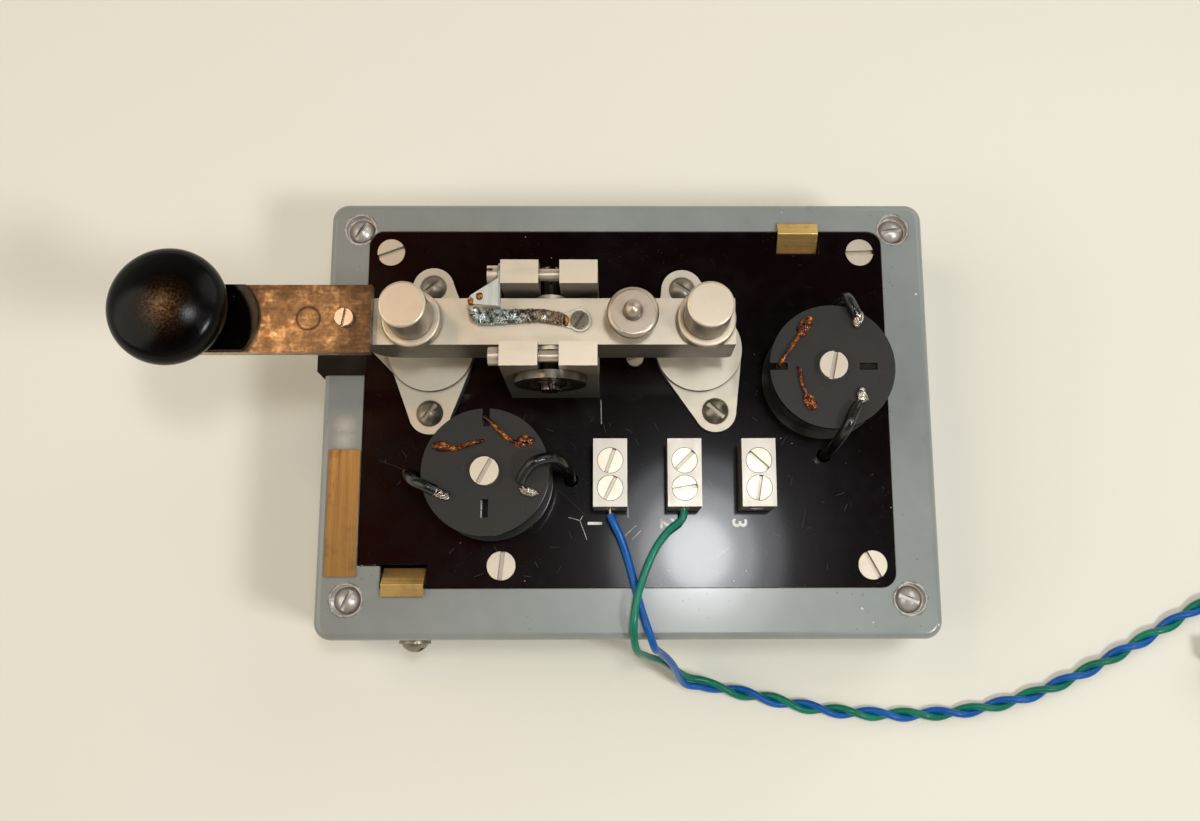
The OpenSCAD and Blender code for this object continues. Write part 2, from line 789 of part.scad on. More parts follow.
module pivot_disc_nut() {
    dish_d = 13;
    hub_d = 9;
    color("#a9a69d") translate([pivot_x, pillar_front_y - running_fit, pivot_z]) rotate([90, 0, 0])
        difference() {
            cylinder(d = disc_nut_d, h = disc_nut_t);
            translate([0, 0, disc_nut_t * 0.6]) difference() {
                cylinder(d = dish_d, h = disc_nut_t);
                translate([0, 0, -cut]) cylinder(d = hub_d, h = disc_nut_t + 2 * cut);
            }
            translate([0, 0, -cut])
                cylinder(d = pivot_screw_d + 2 * running_fit, h = disc_nut_t + 2 * cut);
        }
}

module lever_outline() {
    nose_z = lever_nose_r;
    difference() {
        union() {
            translate([lever_nose_x, 0]) square([lever_tail_x - lever_nose_x, lever_t]);
            translate([lever_nose_x, nose_z]) circle(lever_nose_r);
            translate([tongue_end_x, nose_z]) square([lever_nose_x - tongue_end_x, tongue_t]);
        }
        translate([lever_tail_x - tail_round, -cut]) difference() {
            square([tail_round + cut, tail_round + cut]);
            translate([0, tail_round + cut]) circle(tail_round);
        }
    }
}

module lever() {
    color("#d5d2c9") difference() {
        union() {
            translate([0, lever_y + lever_w / 2, lever_under]) rotate([90, 0, 0]) linear_extrude(lever_w)
                lever_outline();
            translate([pivot_x, lever_y - lever_w / 2 - boss_out, pivot_z]) rotate([-90, 0, 0])
                cylinder(d = pivot_boss_d, h = lever_w + 2 * boss_out);
        }
        for (s = [-1, 1]) {
            translate([pivot_x, lever_y + s * (lever_w / 2 + boss_out), pivot_z]) rotate([s * 90, 0, 0])
                translate([0, 0, -cut])
                    cylinder(d = trunnion_d + 2 * running_fit, h = trunnion_l + cut + 0.5);
        }
        for (x = [front_contact_x, back_contact_x]) {
            translate([x, lever_y, lever_under - cut])
                cylinder(d = contact_shank_d + 2 * running_fit, h = lever_t + 2 * cut);
        }
        translate([spring_x, lever_y, lever_under - cut])
            cylinder(d = spring_rod_d + 2 * rod_room, h = lever_t + 2 * cut);
        translate([ring_x, lever_y, lever_top - ring_screw_l])
            cylinder(d = small_screw_d + 2 * thread_fit, h = ring_screw_l + cut);
        translate([arm_screw_x, lever_y, lever_top - arm_screw_l])
            cylinder(d = small_screw_d + 2 * thread_fit, h = arm_screw_l + cut);
        translate([arm_rivet_x, lever_y, lever_top - tongue_t - cut])
            cylinder(d = arm_rivet_d + 2 * thread_fit, h = tongue_t + 2 * cut);
    }
}

module knob_arm() {
    color("#8a6238") difference() {
        translate([0, lever_y, lever_top]) linear_extrude(arm_t) {
            translate([knob_x, -arm_w / 2]) square([arm_end_x - knob_x, arm_w]);
            translate([knob_x, 0]) circle(d = arm_w);
        }
        translate([arm_screw_x, lever_y, lever_top - cut])
            cylinder(d = small_screw_d + shank_fit, h = arm_t + 2 * cut);
        translate([arm_rivet_x, lever_y, lever_top - cut])
            cylinder(d = arm_rivet_d + 2 * thread_fit, h = arm_t + 2 * cut);
        translate([knob_x, lever_y, lever_top - cut])
            cylinder(d = knob_screw_d + shank_fit, h = arm_t + 2 * cut);
    }
}
knob_screw_d = 4.8;
knob_screw_head_d = 9;
knob_screw_head_h = 2.6;

module arm_rivet() {
    color("#86603a") translate([arm_rivet_x, lever_y, lever_top - tongue_t])
        cylinder(d = arm_rivet_d, h = tongue_t + arm_t);
}

module lever_screws() {
    color("#b3aa98") translate([arm_screw_x, lever_y, arm_top])
        cheese_screw(small_head_d, small_head_h, small_screw_d, arm_t + arm_screw_l - 1, 80);
    color("#d4d0c6") translate([ring_x, lever_y, lever_top + ring_t])
        cheese_screw(small_head_d, small_head_h, small_screw_d, ring_t + ring_screw_l - 0.5, 60);
}

module knob_foot() {
    foot_w = arm_w - 2 * seat_gap;
    color("#17130f") translate([0, lever_y, arm_top]) linear_extrude(foot_t) difference() {
        intersection() {
            union() {
                translate([foot_end_x - foot_end_r, 0]) circle(foot_end_r);
                translate([knob_x, -foot_w / 2]) square([foot_end_x - foot_end_r - knob_x, foot_w]);
                translate([knob_x, 0]) circle(d = foot_w);
            }
            translate([knob_x - foot_w, -foot_w / 2]) square([3 * foot_w, foot_w]);
        }
        translate([knob_x, 0]) circle(d = knob_screw_d + shank_fit);
    }
}

module knob() {
    rim_r = 4.8;
    rim_in = knob_d / 2 - rim_r;
    rim_z = knob_h * 0.6;
    dome_r = 26;
    dome_z = rim_z - sqrt(pow(dome_r - rim_r, 2) - rim_in * rim_in);
    join_r = rim_in * dome_r / (dome_r - rim_r);
    neck_r = 8.6;
    neck_h = rim_z - rim_r;
    hollow_r = 3;
    screw_reach = 8;
    color("#0f0c0a") translate([knob_x, lever_y, foot_top]) difference() {
        rotate_extrude($fn = 96) {
            translate([rim_in, rim_z]) circle(rim_r);
            translate([0, rim_z - rim_r]) square([rim_in, 2 * rim_r]);
            intersection() {
                translate([0, dome_z]) circle(dome_r, $fn = 180);
                translate([0, rim_z]) square([join_r, dome_r]);
            }
            difference() {
                square([neck_r, neck_h + 1]);
                translate([neck_r + hollow_r * 0.4, neck_h / 2]) circle(hollow_r * 0.6);
            }
        }
        translate([0, 0, -cut]) cylinder(d = knob_screw_d + 2 * thread_fit, h = screw_reach + cut);
    }
}

module knob_screw() {
    color("#b9b6ae") translate([knob_x, lever_y, lever_top]) rotate([180, 0, 0])
        cheese_screw(knob_screw_head_d, knob_screw_head_h, knob_screw_d, arm_t + foot_t + 7.5, 12);
}

module contact_tip(x, gap) {
    translate([x, lever_y, anvil_top + gap]) cylinder(d = tip_d, h = tip_h);
}

module front_contact_tip() {
    color("#e2e2dd") contact_tip(front_contact_x, front_contact_gap);
}

module back_contact_tip() {
    color("#e2e2dd") contact_tip(back_contact_x, contact_touch);
}

// A hand screw whose shank ends on its tip
module contact_screw(x, gap) {
    bevel = 0.6;
    head_z = lever_top + nut_float + locknut_t + seat_gap;
    shank_z = anvil_top + gap + tip_h + running_fit;
    translate([x, lever_y, shank_z]) cylinder(d = contact_shank_d, h = head_z - shank_z);
    translate([x, lever_y, head_z]) rotate_extrude() {
        square([adjuster_d / 2 - bevel, adjuster_h]);
        translate([0, bevel]) square([adjuster_d / 2, adjuster_h - 2 * bevel]);
        translate([adjuster_d / 2 - bevel, bevel]) circle(bevel);
        translate([adjuster_d / 2 - bevel, adjuster_h - bevel]) circle(bevel);
    }
}

module front_contact_screw() {
    color("#cdc9be") contact_screw(front_contact_x, front_contact_gap);
}

module back_contact_screw() {
    color("#cdc9be") contact_screw(back_contact_x, contact_touch);
}

module locknut(x) {
    bevel = 0.6;
    translate([x, lever_y, lever_top + nut_float]) difference() {
        rotate_extrude() {
            square([locknut_d / 2 - bevel, locknut_t]);
            translate([0, bevel]) square([locknut_d / 2, locknut_t - 2 * bevel]);
            translate([locknut_d / 2 - bevel, bevel]) circle(bevel);
            translate([locknut_d / 2 - bevel, locknut_t - bevel]) circle(bevel);
        }
        translate([0, 0, -cut]) cylinder(d = contact_shank_d + 2 * running_fit, h = locknut_t + 2 * cut);
    }
}

module front_locknut() {
    color("#cdc9be") locknut(front_contact_x);
}

module back_locknut() {
    color("#cdc9be") locknut(back_contact_x);
}

module tension_nut() {
    rim_bevel = 1.2;
    color("#b7aea0") translate([spring_x, lever_y, lever_top + nut_float]) difference() {
        rotate_extrude() {
            square([nut_hub_d / 2, spring_nut_h - 0.5]);
            translate([0, spring_nut_h - nut_rim_t]) square([spring_nut_d / 2 - rim_bevel, nut_rim_t]);
            translate([spring_nut_d / 2 - rim_bevel, spring_nut_h - nut_rim_t + rim_bevel])
                circle(rim_bevel);
            translate([spring_nut_d / 2 - rim_bevel, spring_nut_h - rim_bevel - 0.2]) circle(rim_bevel);
            translate([spring_nut_d / 2 - rim_bevel, spring_nut_h - nut_rim_t + rim_bevel])
                square([rim_bevel, nut_rim_t - 2 * rim_bevel]);
        }
        translate([0, 0, -cut]) cylinder(d = spring_rod_d + 2 * running_fit, h = spring_nut_h + 2 * cut);
    }
}

module spring_rod() {
    rod_top = lever_top + spring_nut_h + spring_rod_up;
    shoulder = spring_rod_foot + spring_stem_h;
    color("#c2bdb2") translate([spring_x, lever_y, 0]) difference() {
        union() {
            translate([0, 0, shoulder])
                cylinder(d = spring_rod_d, h = rod_top - shoulder - spring_rod_d / 2);
            translate([0, 0, rod_top - spring_rod_d / 2]) sphere(d = spring_rod_d);
            translate([0, 0, spring_rod_foot]) cylinder(d = spring_stem_d, h = spring_stem_h + cut);
        }
        translate([0, 0, spring_hook_z]) rotate([0, 90, 0])
            cylinder(d = spring_hook_bore, h = spring_rod_d + cut, center = true);
    }
}

// The spring hooks round the anchor's neck, climbs in open turns and goes through the rod's eye
module tension_spring() {
    hook_r = anchor_neck_d / 2 + spring_wire_d / 2 + 0.15;
    hook_z = deck_z + anchor_neck_h / 2;
    coil_z0 = deck_z + anchor_neck_h + anchor_head_h + 0.9;
    coil_z1 = spring_rod_foot - 0.9;
    anchor_hook = [
        for (a = [200:40:400]) [anchor_x + hook_r * cos(a), anchor_y + hook_r * sin(a), hook_z]
    ];
    riser = [[anchor_x + 3.4, anchor_y + 1.4, hook_z + 0.6], [anchor_x + 3.6, anchor_y + 2.4, coil_z0 - 1]];
    turns = [
        for (i = [0:8 * spring_turns])
            let (a = 20 + 45 * i, s = i / (8 * spring_turns))
            [
                spring_x + 0.6 * (1 - s) + spring_coil_r * cos(a),
                lever_y - 1.2 * (1 - s) + spring_coil_r * sin(a),
                coil_z0 + (coil_z1 - coil_z0) * s
            ]
    ];
    eye = [
        [spring_x + spring_coil_r + 0.3, lever_y + 0.4, coil_z1 + 1.4],
        [spring_x + spring_coil_r - 0.4, lever_y, spring_hook_z],
        [spring_x, lever_y, spring_hook_z],
        [spring_x - spring_stem_d / 2 - 0.8, lever_y, spring_hook_z]
    ];
    echo(tension_spring_gap = least_gap(turns, 5) - spring_wire_d);
    color("#a8a499") tube(concat(anchor_hook, riser, turns, eye), spring_wire_d, 6);
}

module spring_anchor() {
    color("#cfccc4") translate([anchor_x, anchor_y, deck_z + anchor_neck_h])
        cheese_screw(anchor_head_d, anchor_head_h, anchor_neck_d, anchor_neck_h + through_deck, 15);
}

module plate_blank(turn) {
    cylinder(d = contact_disc_d, h = plate_t);
    for (s = [90, -90]) {
        rotate(s + turn) lobe(contact_disc_d / 2, plate_lobe_r, plate_screw_pitch / 2, plate_t);
    }
}

module plate_drillings(turn) {
    for (s = [1, -1]) {
        translate([-s * plate_screw_pitch / 2 * sin(turn), s * plate_screw_pitch / 2 * cos(turn), -cut])
            cylinder(d = plate_screw_d + shank_fit, h = plate_t + 2 * cut);
    }
}

module front_contact_plate() {
    color("#d6d3ca") translate([front_plate_x, plate_y, deck_z]) difference() {
        union() {
            plate_blank(0);
            rotate(tongue_turn) lobe(contact_disc_d / 2, plate_lobe_r, tongue_reach, plate_t);
        }
        plate_drillings(0);
        translate([deck_x0 + seat_gap - front_plate_x - plate_screw_pitch, -plate_screw_pitch / 2, -cut])
            cube([plate_screw_pitch, plate_screw_pitch, plate_t + 2 * cut]);
    }
}

module back_contact_plate() {
    color("#d6d3ca") translate([back_plate_x, plate_y, deck_z]) difference() {
        plate_blank(back_plate_turn);
        plate_drillings(back_plate_turn);
    }
}

module contact_disc(spot, x) {
    translate([spot[0], spot[1], deck_z + plate_t])
        cylinder(d = contact_disc_d - 0.3, h = contact_disc_t, $fn = 96);
    translate([x, lever_y, disc_top]) cylinder(d = anvil_d, h = anvil_h);
}

module front_contact_disc() {
    color("#dcd9d1") contact_disc(front_disc_spot, front_contact_x);
}

module back_contact_disc() {
    color("#dcd9d1") contact_disc(back_disc_spot, back_contact_x);
}

module plate_screws() {
    turns = [40, 52, 147, 140];
    color("#bdb9ae") for (i = [0:len(plate_screw_spots) - 1]) {
        translate([plate_screw_spots[i][0], plate_screw_spots[i][1], deck_z + plate_t])
            round_screw(plate_head_d, plate_head_h, plate_screw_d, plate_t + through_deck, turns[i]);
    }
}

module terminal(i) {
    x = terminal_xs[i];
    bore_y0 = terminal_y - terminal_l / 2;
    color("#dedbd2") difference() {
        translate([x - terminal_w / 2, bore_y0, deck_z]) cube([terminal_w, terminal_l, terminal_h]);
        translate([x, bore_y0 - cut, deck_z + wire_bore_h]) rotate([-90, 0, 0])
            cylinder(d = wire_bore_d, h = wire_bore_l + cut);
        for (y = [bore_y0 + terminal_screw_front, terminal_y + terminal_l / 2 - terminal_screw_back]) {
            translate([x, y, deck_z + terminal_h - terminal_head_h])
                cylinder(d = terminal_head_d + shank_fit, h = terminal_head_h + cut);
        }
        translate([x, bore_y0 + terminal_screw_front, deck_z + wire_bore_h])
            cylinder(d = terminal_screw_d + 2 * thread_fit, h = terminal_h);
        translate([x, terminal_y + terminal_l / 2 - terminal_screw_back, deck_z - cut])
            cylinder(d = terminal_screw_d + 2 * thread_fit, h = terminal_h);
    }
}

module terminal_1() {
    terminal(0);
}

module terminal_2() {
    terminal(1);
}

module terminal_3() {
    terminal(2);
}

module terminal_screws() {
    seat = terminal_h - terminal_head_h;
    wire_top = wire_bore_h + bare_d / 2 + clamp_foot_gap;
    bore_top = wire_bore_h + wire_bore_d / 2;
    color("#d8d3c6") for (i = [0:2]) {
        foot = i < 2 ? wire_top : bore_top;
        translate([terminal_xs[i], terminal_y + terminal_l / 2 - terminal_screw_back, deck_z + seat])
            cheese_screw(terminal_head_d, terminal_head_h, terminal_screw_d, seat + through_deck,
                terminal_slots[i][0]);
        translate([terminal_xs[i], terminal_y - terminal_l / 2 + terminal_screw_front, deck_z + seat])
            cheese_screw(terminal_head_d, terminal_head_h, terminal_screw_d, seat - foot,
                terminal_slots[i][1]);
    }
}

module choke_bobbin(spot, turn) {
    translate([spot[0], spot[1], deck_z]) rotate([0, 0, turn]) difference() {
        union() {
            cylinder(d = choke_d, h = choke_flange_t);
            translate([0, 0, choke_h - choke_flange_t]) cylinder(d = choke_d, h = choke_flange_t);
            cylinder(d = core_d, h = choke_h);
        }
        translate([0, 0, -cut]) cylinder(d = choke_screw_d + shank_fit, h = choke_h + 2 * cut);
        translate([choke_d / 2 - choke_slot_in, -choke_slot_w / 2, choke_h - choke_flange_t - cut / 2])
            cube([choke_slot_in + cut, choke_slot_w, choke_flange_t + cut]);
        translate([-choke_d / 2 + choke_slot_in, -choke_slot_w / 2, choke_h - choke_flange_t - cut / 2])
            cube([choke_slot_in, choke_slot_w, choke_flange_t + cut]);
    }
}

module left_choke_bobbin() {
    color("#34363a") choke_bobbin(choke_spots[0], 90);
}

module right_choke_bobbin() {
    color("#34363a") choke_bobbin(choke_spots[1], 180);
}

module choke_winding(spot) {
    h = choke_h - 2 * choke_flange_t - 2 * winding_gap;
    translate([spot[0], spot[1], deck_z + choke_flange_t + winding_gap]) difference() {
        cylinder(d = winding_d, h = h);
        translate([0, 0, -cut]) cylinder(d = core_d + 2 * winding_gap, h = h + 2 * cut);
    }
}

module left_choke_winding() {
    color("#141210") choke_winding(choke_spots[0]);
}

module right_choke_winding() {
    color("#141210") choke_winding(choke_spots[1]);
}

module choke_screws() {
    turns = [62, 78];
    color("#d3cfc4") for (i = [0:1]) {
        translate([choke_spots[i][0], choke_spots[i][1], deck_z + choke_h])
            cheese_screw(choke_head_d, choke_head_h, choke_screw_d, choke_h + through_deck, turns[i]);
    }
}

// Sleeved leads from the solder points on the flanges down through the deck
choke_top = deck_z + choke_h;
lead_over = choke_top + sleeve_d / 2 + 0.3;
choke_lead_routes = [
    [
        [-51.6, -25.4, lead_over], [-54.6, -24.6, lead_over + 1], [-58.6, -22, lead_over - 1],
        [-61.4, -19.4, choke_top - 7], [-62.1, -18.4, deck_z + 6], [-62.1, -18.4, deck_under_z - 2]
    ],
    [
        [-28.6, -23.8, lead_over], [-28.2, -20.6, lead_over + 3], [-25, -17.2, lead_over + 5.2],
        [-20, -16.4, lead_over + 1.4], [-17.4, -18.3, choke_top - 6], [-16.5, -19.3, deck_z + 6],
        [-16.5, -19.3, deck_under_z - 2]
    ],
    [
        [63.8, 0.4, lead_over], [62.4, -2.6, lead_over + 1], [60.2, -7.4, lead_over + 0.3],
        [57.8, -11, choke_top - 7], [56.9, -12.2, deck_z + 6], [56.9, -12.2, deck_under_z - 2]
    ],
    [
        [63.6, 22, lead_over], [63.2, 24.6, lead_over + 0.8], [62, 29, lead_over - 1.4],
        [61.2, 31.2, choke_top - 8], [61, 31.4, deck_z + 6], [61, 31.4, deck_under_z - 2]
    ]
];

module choke_leads() {
    color("#100e0d") for (route = choke_lead_routes) {
        tube(smooth(route, 4), sleeve_d, 8, [1, 0, 0]);
    }
}

module hex_nut(d) {
    difference() {
        cylinder(d = nut_af / cos(30), h = nut_t, $fn = 6);
        translate([0, 0, -cut]) cylinder(d = d + 2 * thread_fit, h = nut_t + 2 * cut);
    }
}

module deck_nuts() {
    color("#bfa45c") {
        for (s = plate_screw_spots) {
            translate([s[0], s[1], nut_under_z]) hex_nut(plate_screw_d);
        }
        for (x = terminal_xs) {
            translate([x, terminal_y + terminal_l / 2 - terminal_screw_back, nut_under_z])
                hex_nut(terminal_screw_d);
        }
        for (s = choke_spots) {
            translate([s[0], s[1], nut_under_z]) hex_nut(choke_screw_d);
        }
        translate([anchor_x, anchor_y, nut_under_z]) hex_nut(anchor_neck_d);
    }
}

// Links under the deck, from each terminal to its choke or to the bracket, and on to the contacts
link_z = deck_under_z - 2;
link_d = 1.6;
nut_side = nut_af / 2 + link_d / 2 + 0.3;
terminal_nut_y = terminal_y + terminal_l / 2 - terminal_screw_back;
link_routes = [
    [[terminal_xs[0] - nut_side, terminal_nut_y, link_z], [-12, -17, link_z], [-14.6, -19.3, link_z - 0.6]],
    [[-60.4, -17, link_z - 0.6], [-57, -10, link_z], [-57.5, -4.8, link_z]],
    [[terminal_xs[1], terminal_nut_y + nut_side, link_z], [8, 0, link_z], [-6, 10, link_z],
        [pivot_x + 8, lever_y - plate_head_d / 2 - 1.2, link_z]],
    [[terminal_xs[2] + nut_side, terminal_nut_y, link_z], [50, -12, link_z], [55.2, -12.4, link_z - 0.6]],
    [[61, 33.6, link_z - 0.6], [50, 38, link_z], [32, 40, link_z], [21.2, 38, link_z]]
];

module link_wires() {
    color("#b0402c") for (route = link_routes) {
        tube(smooth(route, 3), link_d, 6);
    }
}

// The pigtail that carries the current past the pivot
lug_x = pivot_x - pillar_l / 2;
lug_tip = [-42, 23.4, deck_z + 38.6];

module pigtail_lug() {
    ring_r = 3.1;
    y = pillar_back_y + pillar_t / 2;
    z = deck_z + clamp_screw_h;
    fall = 17;
    blade = (lug_x - lug_t - lug_tip[0]) / cos(fall);
    color("#cfc8b4") {
        translate([lug_x - lug_t, y, z]) rotate([0, 90, 0]) difference() {
            union() {
                cylinder(r = ring_r, h = lug_t);
                translate([-ring_r, -9.4, 0]) cube([ring_r, 9.4, lug_t]);
            }
            translate([0, 0, -cut]) cylinder(d = clamp_screw_d + 2 * thread_fit, h = lug_t + 2 * cut);
        }
        translate([lug_x - lug_t, lug_tip[1], z + ring_r - lug_t]) rotate([0, 180 - fall, 0])
            mirror([0, 0, 1]) linear_extrude(lug_t) polygon([
                [-0.4, y - 9.2 - lug_tip[1]], [-0.4, y - 1.6 - lug_tip[1]], [blade - 0.6, 0.9],
                [blade, 0.2], [blade, -1], [blade - 0.8, -1.5]
            ]);
    }
}

braid_route = [
    [-41.2, 20.4, lever_top + 4.2], [-40, 19.8, lever_top + 3], [-36, 19.7, lever_top + 2],
    [-30, 20, lever_top + 1.7], [-24, 20.2, lever_top + 1.7], [-19.6, 19.6, lever_top + 2],
    [ring_x - ring_d / 2 + 0.4, lever_y, lever_top + ring_t + 1.35]
];

module pigtail_braid() {
    color("#8f8e86") tube(smooth(braid_route, 3), 2.3, 8);
}

module pigtail_ring() {
    barrel_l = 2;
    color("#cbb58a") difference() {
        union() {
            translate([ring_x, lever_y, lever_top]) cylinder(d = ring_d, h = ring_t);
            translate([ring_x - ring_d / 2 - 0.4, lever_y - 1.3, lever_top]) cube([barrel_l, 2.6, ring_t]);
        }
        translate([ring_x, lever_y, lever_top - cut])
            cylinder(d = small_screw_d + shank_fit, h = ring_t + 2 * cut);
    }
}

// The two leads leave the terminals, cross over the rim and are twisted together in front of the case
lead_bare_l = 8;
bore_front_y = terminal_y - terminal_l / 2;
bore_z = deck_z + wire_bore_h;
pair_start = [22.5, -78, 6];
pair_heading = unit([19, -4.5, -2]);
pair_side = unit(cross([0, 0, 1], pair_heading));
blue_route = [
    [terminal_xs[0], bore_front_y - 1.4, bore_z], [terminal_xs[0] + 1, bore_front_y - 4, bore_z - 0.4],
    [-2.2, -36.4, 48.2], [0, -43, 46.6], [3.2, -55, 46], [5.3, -61.4, 46.7], [7.4, -67, 43],
    [8.9, -68, 35], [13, -71.6, 24],
    pair_start - 5 * pair_heading + [0, 0, 2] - lead_d / 2 * pair_side, pair_start - lead_d / 2 * pair_side
];
green_route = [
    [terminal_xs[1], bore_front_y - 0.4, bore_z], [terminal_xs[1] - 0.6, bore_front_y - 3, bore_z],
    [11, -34.6, 49], [7.2, -40, 48.4], [4.2, -47, 48], [2.2, -53.8, 48.4], [1.3, -61, 47.8],
    [2.2, -67.4, 42.4], [5.4, -69.4, 30], [11, -71.4, 19],
    pair_start - 5 * pair_heading + [0, 0, 2] + lead_d / 2 * pair_side, pair_start + lead_d / 2 * pair_side
];

module blue_lead() {
    color("#1f5fae") tube(smooth(blue_route, 3), lead_d, 8);
    color("#c98a55") translate([terminal_xs[0], bore_front_y - 1.4, bore_z]) rotate([-90, 0, 0])
        cylinder(d = bare_d, h = lead_bare_l);
}

module green_lead() {
    color("#1f8a5c") tube(smooth(green_route, 3), lead_d, 8);
    color("#c98a55") translate([terminal_xs[1], bore_front_y - 0.4, bore_z]) rotate([-90, 0, 0])
        cylinder(d = bare_d, h = lead_bare_l);
}

pair_lie = pair_d / 2;

// The put away coil spirals in on the surface, climbs in half a turn and spirals out on top
coil_mid = [216, -70];
coil_start_turn = 120;
tie_t = 0.4;
coil_lie = pair_lie + tie_t + seat_gap;
coil_layer = coil_pitch;
coil_outer = coil_r + coil_pitch * layer_turns / 2;
coil_inner = coil_r - coil_pitch * layer_turns / 2;
coil_heading = [sin(coil_start_turn), -cos(coil_start_turn), 0];
function coil_point(radius, turned, z) = [
    coil_mid[0] + radius * cos(coil_start_turn - turned),
    coil_mid[1] + radius * sin(coil_start_turn - turned),
    z
];
layer_rings = 24 * layer_turns;
coil_points = [
    for (i = [0:layer_rings - 1])
        coil_point(coil_outer - coil_pitch * i / 24, 15 * i, coil_lie),
    for (i = [0:12])
        coil_point(coil_inner, 360 * layer_turns + 15 * i, coil_lie + coil_layer * i / 12),
    for (i = [1:layer_rings])
        coil_point(coil_inner + coil_pitch * i / 24, 360 * layer_turns + 180 + 15 * i, coil_lie + coil_layer)
];
coil_last = coil_points[len(coil_points) - 1];
coil_end_turn = coil_start_turn - 180 - 720 * layer_turns;
coil_end_heading = [sin(coil_end_turn), -cos(coil_end_turn), 0];
coil_route = concat([coil_points[0] - pair_d * coil_heading], coil_points,
    [coil_last + pair_d * coil_end_heading]);

pair_route = [
    pair_start, [31, -80.2, 3.4], [41.5, -82.4, pair_lie], [52, -84.8, pair_lie], [63, -86.6, pair_lie],
    [74, -87.6, pair_lie], [85, -88, pair_lie], [95, -87.8, pair_lie], [104, -87.2, pair_lie],
    [117, -84.8, pair_lie], [129.5, -81.2, pair_lie], [141, -76.5, pair_lie], [152.5, -71, pair_lie],
    [167, -63.4, pair_lie], [182.5, -54.8, pair_lie + 0.2], coil_route[0] - 5 * coil_heading, coil_route[0]
];

module twisted_lead() {
    color("#20757f") tube(smooth(pair_route, 2), pair_d, 8);
}

module lead_coil() {
    echo(lead_coil_gap = least_gap(coil_route, 8) - pair_d);
    echo(lead_length = run_length(smooth(pair_route, 2)) + run_length(coil_route));
    color("#20757f") tube(coil_route, pair_d, 6);
}

// A tape tie holds the turns of the coil together
module coil_tie() {
    tie_w = 6;
    room = pair_d / 2 + seat_gap;
    high = coil_layer + 2 * room;
    wide = coil_outer - coil_inner + 2 * room;
    color("#26221f") translate([coil_mid[0], coil_mid[1], 0]) rotate([0, 0, coil_start_turn + 60])
        translate([coil_inner - room - tie_t, -tie_w / 2, 0]) difference() {
            cube([wide + 2 * tie_t, tie_w, high + 2 * tie_t]);
            translate([tie_t, -cut, tie_t]) cube([wide, tie_w + 2 * cut, high]);
        }
}

// The stripped far ends of the two leads
module lead_ends() {
    sleeve_l = 10;
    bare_l = 8;
    far = coil_route[len(coil_route) - 1];
    side = lead_d / 2 * cross([0, 0, 1], coil_end_heading);
    for (s = [-1, 1]) {
        translate(far + s * side) rotate([0, 90, coil_end_turn - 90]) {
            color(s < 0 ? "#1f5fae" : "#1f8a5c") cylinder(d = lead_d, h = sleeve_l);
            color("#c98a55") cylinder(d = bare_d, h = sleeve_l + bare_l);
        }
    }
}

case();
floor_plate();
deck_plate();
case_screws();
deck_screws();
earth_screw();
label_strip();
front_cover_clip();
rear_cover_clip();
clip_rivets();
fulcrum_bracket();
bracket_screws();
clamp_screws();
front_pivot_screw();
rear_pivot_screw();
pivot_disc_nut();
lever();
knob_arm();
arm_rivet();
lever_screws();
knob_foot();
knob();
knob_screw();
front_contact_screw();
back_contact_screw();
front_contact_tip();
back_contact_tip();
front_locknut();
back_locknut();
tension_nut();
spring_rod();
tension_spring();
spring_anchor();
front_contact_plate();
back_contact_plate();
front_contact_disc();
back_contact_disc();
plate_screws();
terminal_1();
terminal_2();
terminal_3();
terminal_screws();
left_choke_bobbin();
right_choke_bobbin();
left_choke_winding();
right_choke_winding();
choke_screws();
choke_leads();
deck_nuts();
link_wires();
pigtail_lug();
pigtail_braid();
pigtail_ring();
blue_lead();
green_lead();
twisted_lead();
lead_coil();
coil_tie();
lead_ends();
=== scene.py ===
# %% [markdown]
# # A desk telegraph key
# The solids of this key, its case, deck, lever, screws and nuts, come from a CAD model.
# This lesson gives them their finishes and adds what a solid modeller leaves plain:
# the twisted pair of leads, the woven pigtail, the joints of the chokes with their
# solder and varnish, and the light of a plain studio. Lengths are in metres, or in
# millimetres where they go through mm(), in the same frame as the CAD.

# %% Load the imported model
import bpy
import math
from mathutils import Vector, Matrix, noise


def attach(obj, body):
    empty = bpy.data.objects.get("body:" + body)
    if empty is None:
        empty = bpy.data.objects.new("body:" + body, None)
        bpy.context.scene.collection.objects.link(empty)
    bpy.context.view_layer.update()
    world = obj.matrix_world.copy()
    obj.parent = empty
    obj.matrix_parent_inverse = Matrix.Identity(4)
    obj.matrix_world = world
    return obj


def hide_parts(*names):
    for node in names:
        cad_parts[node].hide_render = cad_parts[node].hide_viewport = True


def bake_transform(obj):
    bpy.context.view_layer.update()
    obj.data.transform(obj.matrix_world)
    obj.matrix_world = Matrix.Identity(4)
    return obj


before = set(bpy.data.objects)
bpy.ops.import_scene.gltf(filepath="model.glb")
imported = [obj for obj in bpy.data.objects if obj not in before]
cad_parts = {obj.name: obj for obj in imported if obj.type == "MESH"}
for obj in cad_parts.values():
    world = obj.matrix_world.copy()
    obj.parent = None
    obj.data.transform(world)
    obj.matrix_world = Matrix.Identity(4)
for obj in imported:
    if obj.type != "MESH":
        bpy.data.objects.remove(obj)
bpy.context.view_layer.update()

# %% [markdown]
# ## Places from the drawing
# The tops of the deck, the chokes and the lever, and the lever's middle line, are the
# CAD's own numbers in millimetres. Many pieces and finishes are placed from them.

# %% Shared heights
DECK_TOP = 43.5
CHOKE_TOP = 63.5
LEVER_TOP = 78.3
LEVER_Y = 19.0
print("tops in mm: deck", DECK_TOP, "chokes", CHOKE_TOP, "lever", LEVER_TOP)

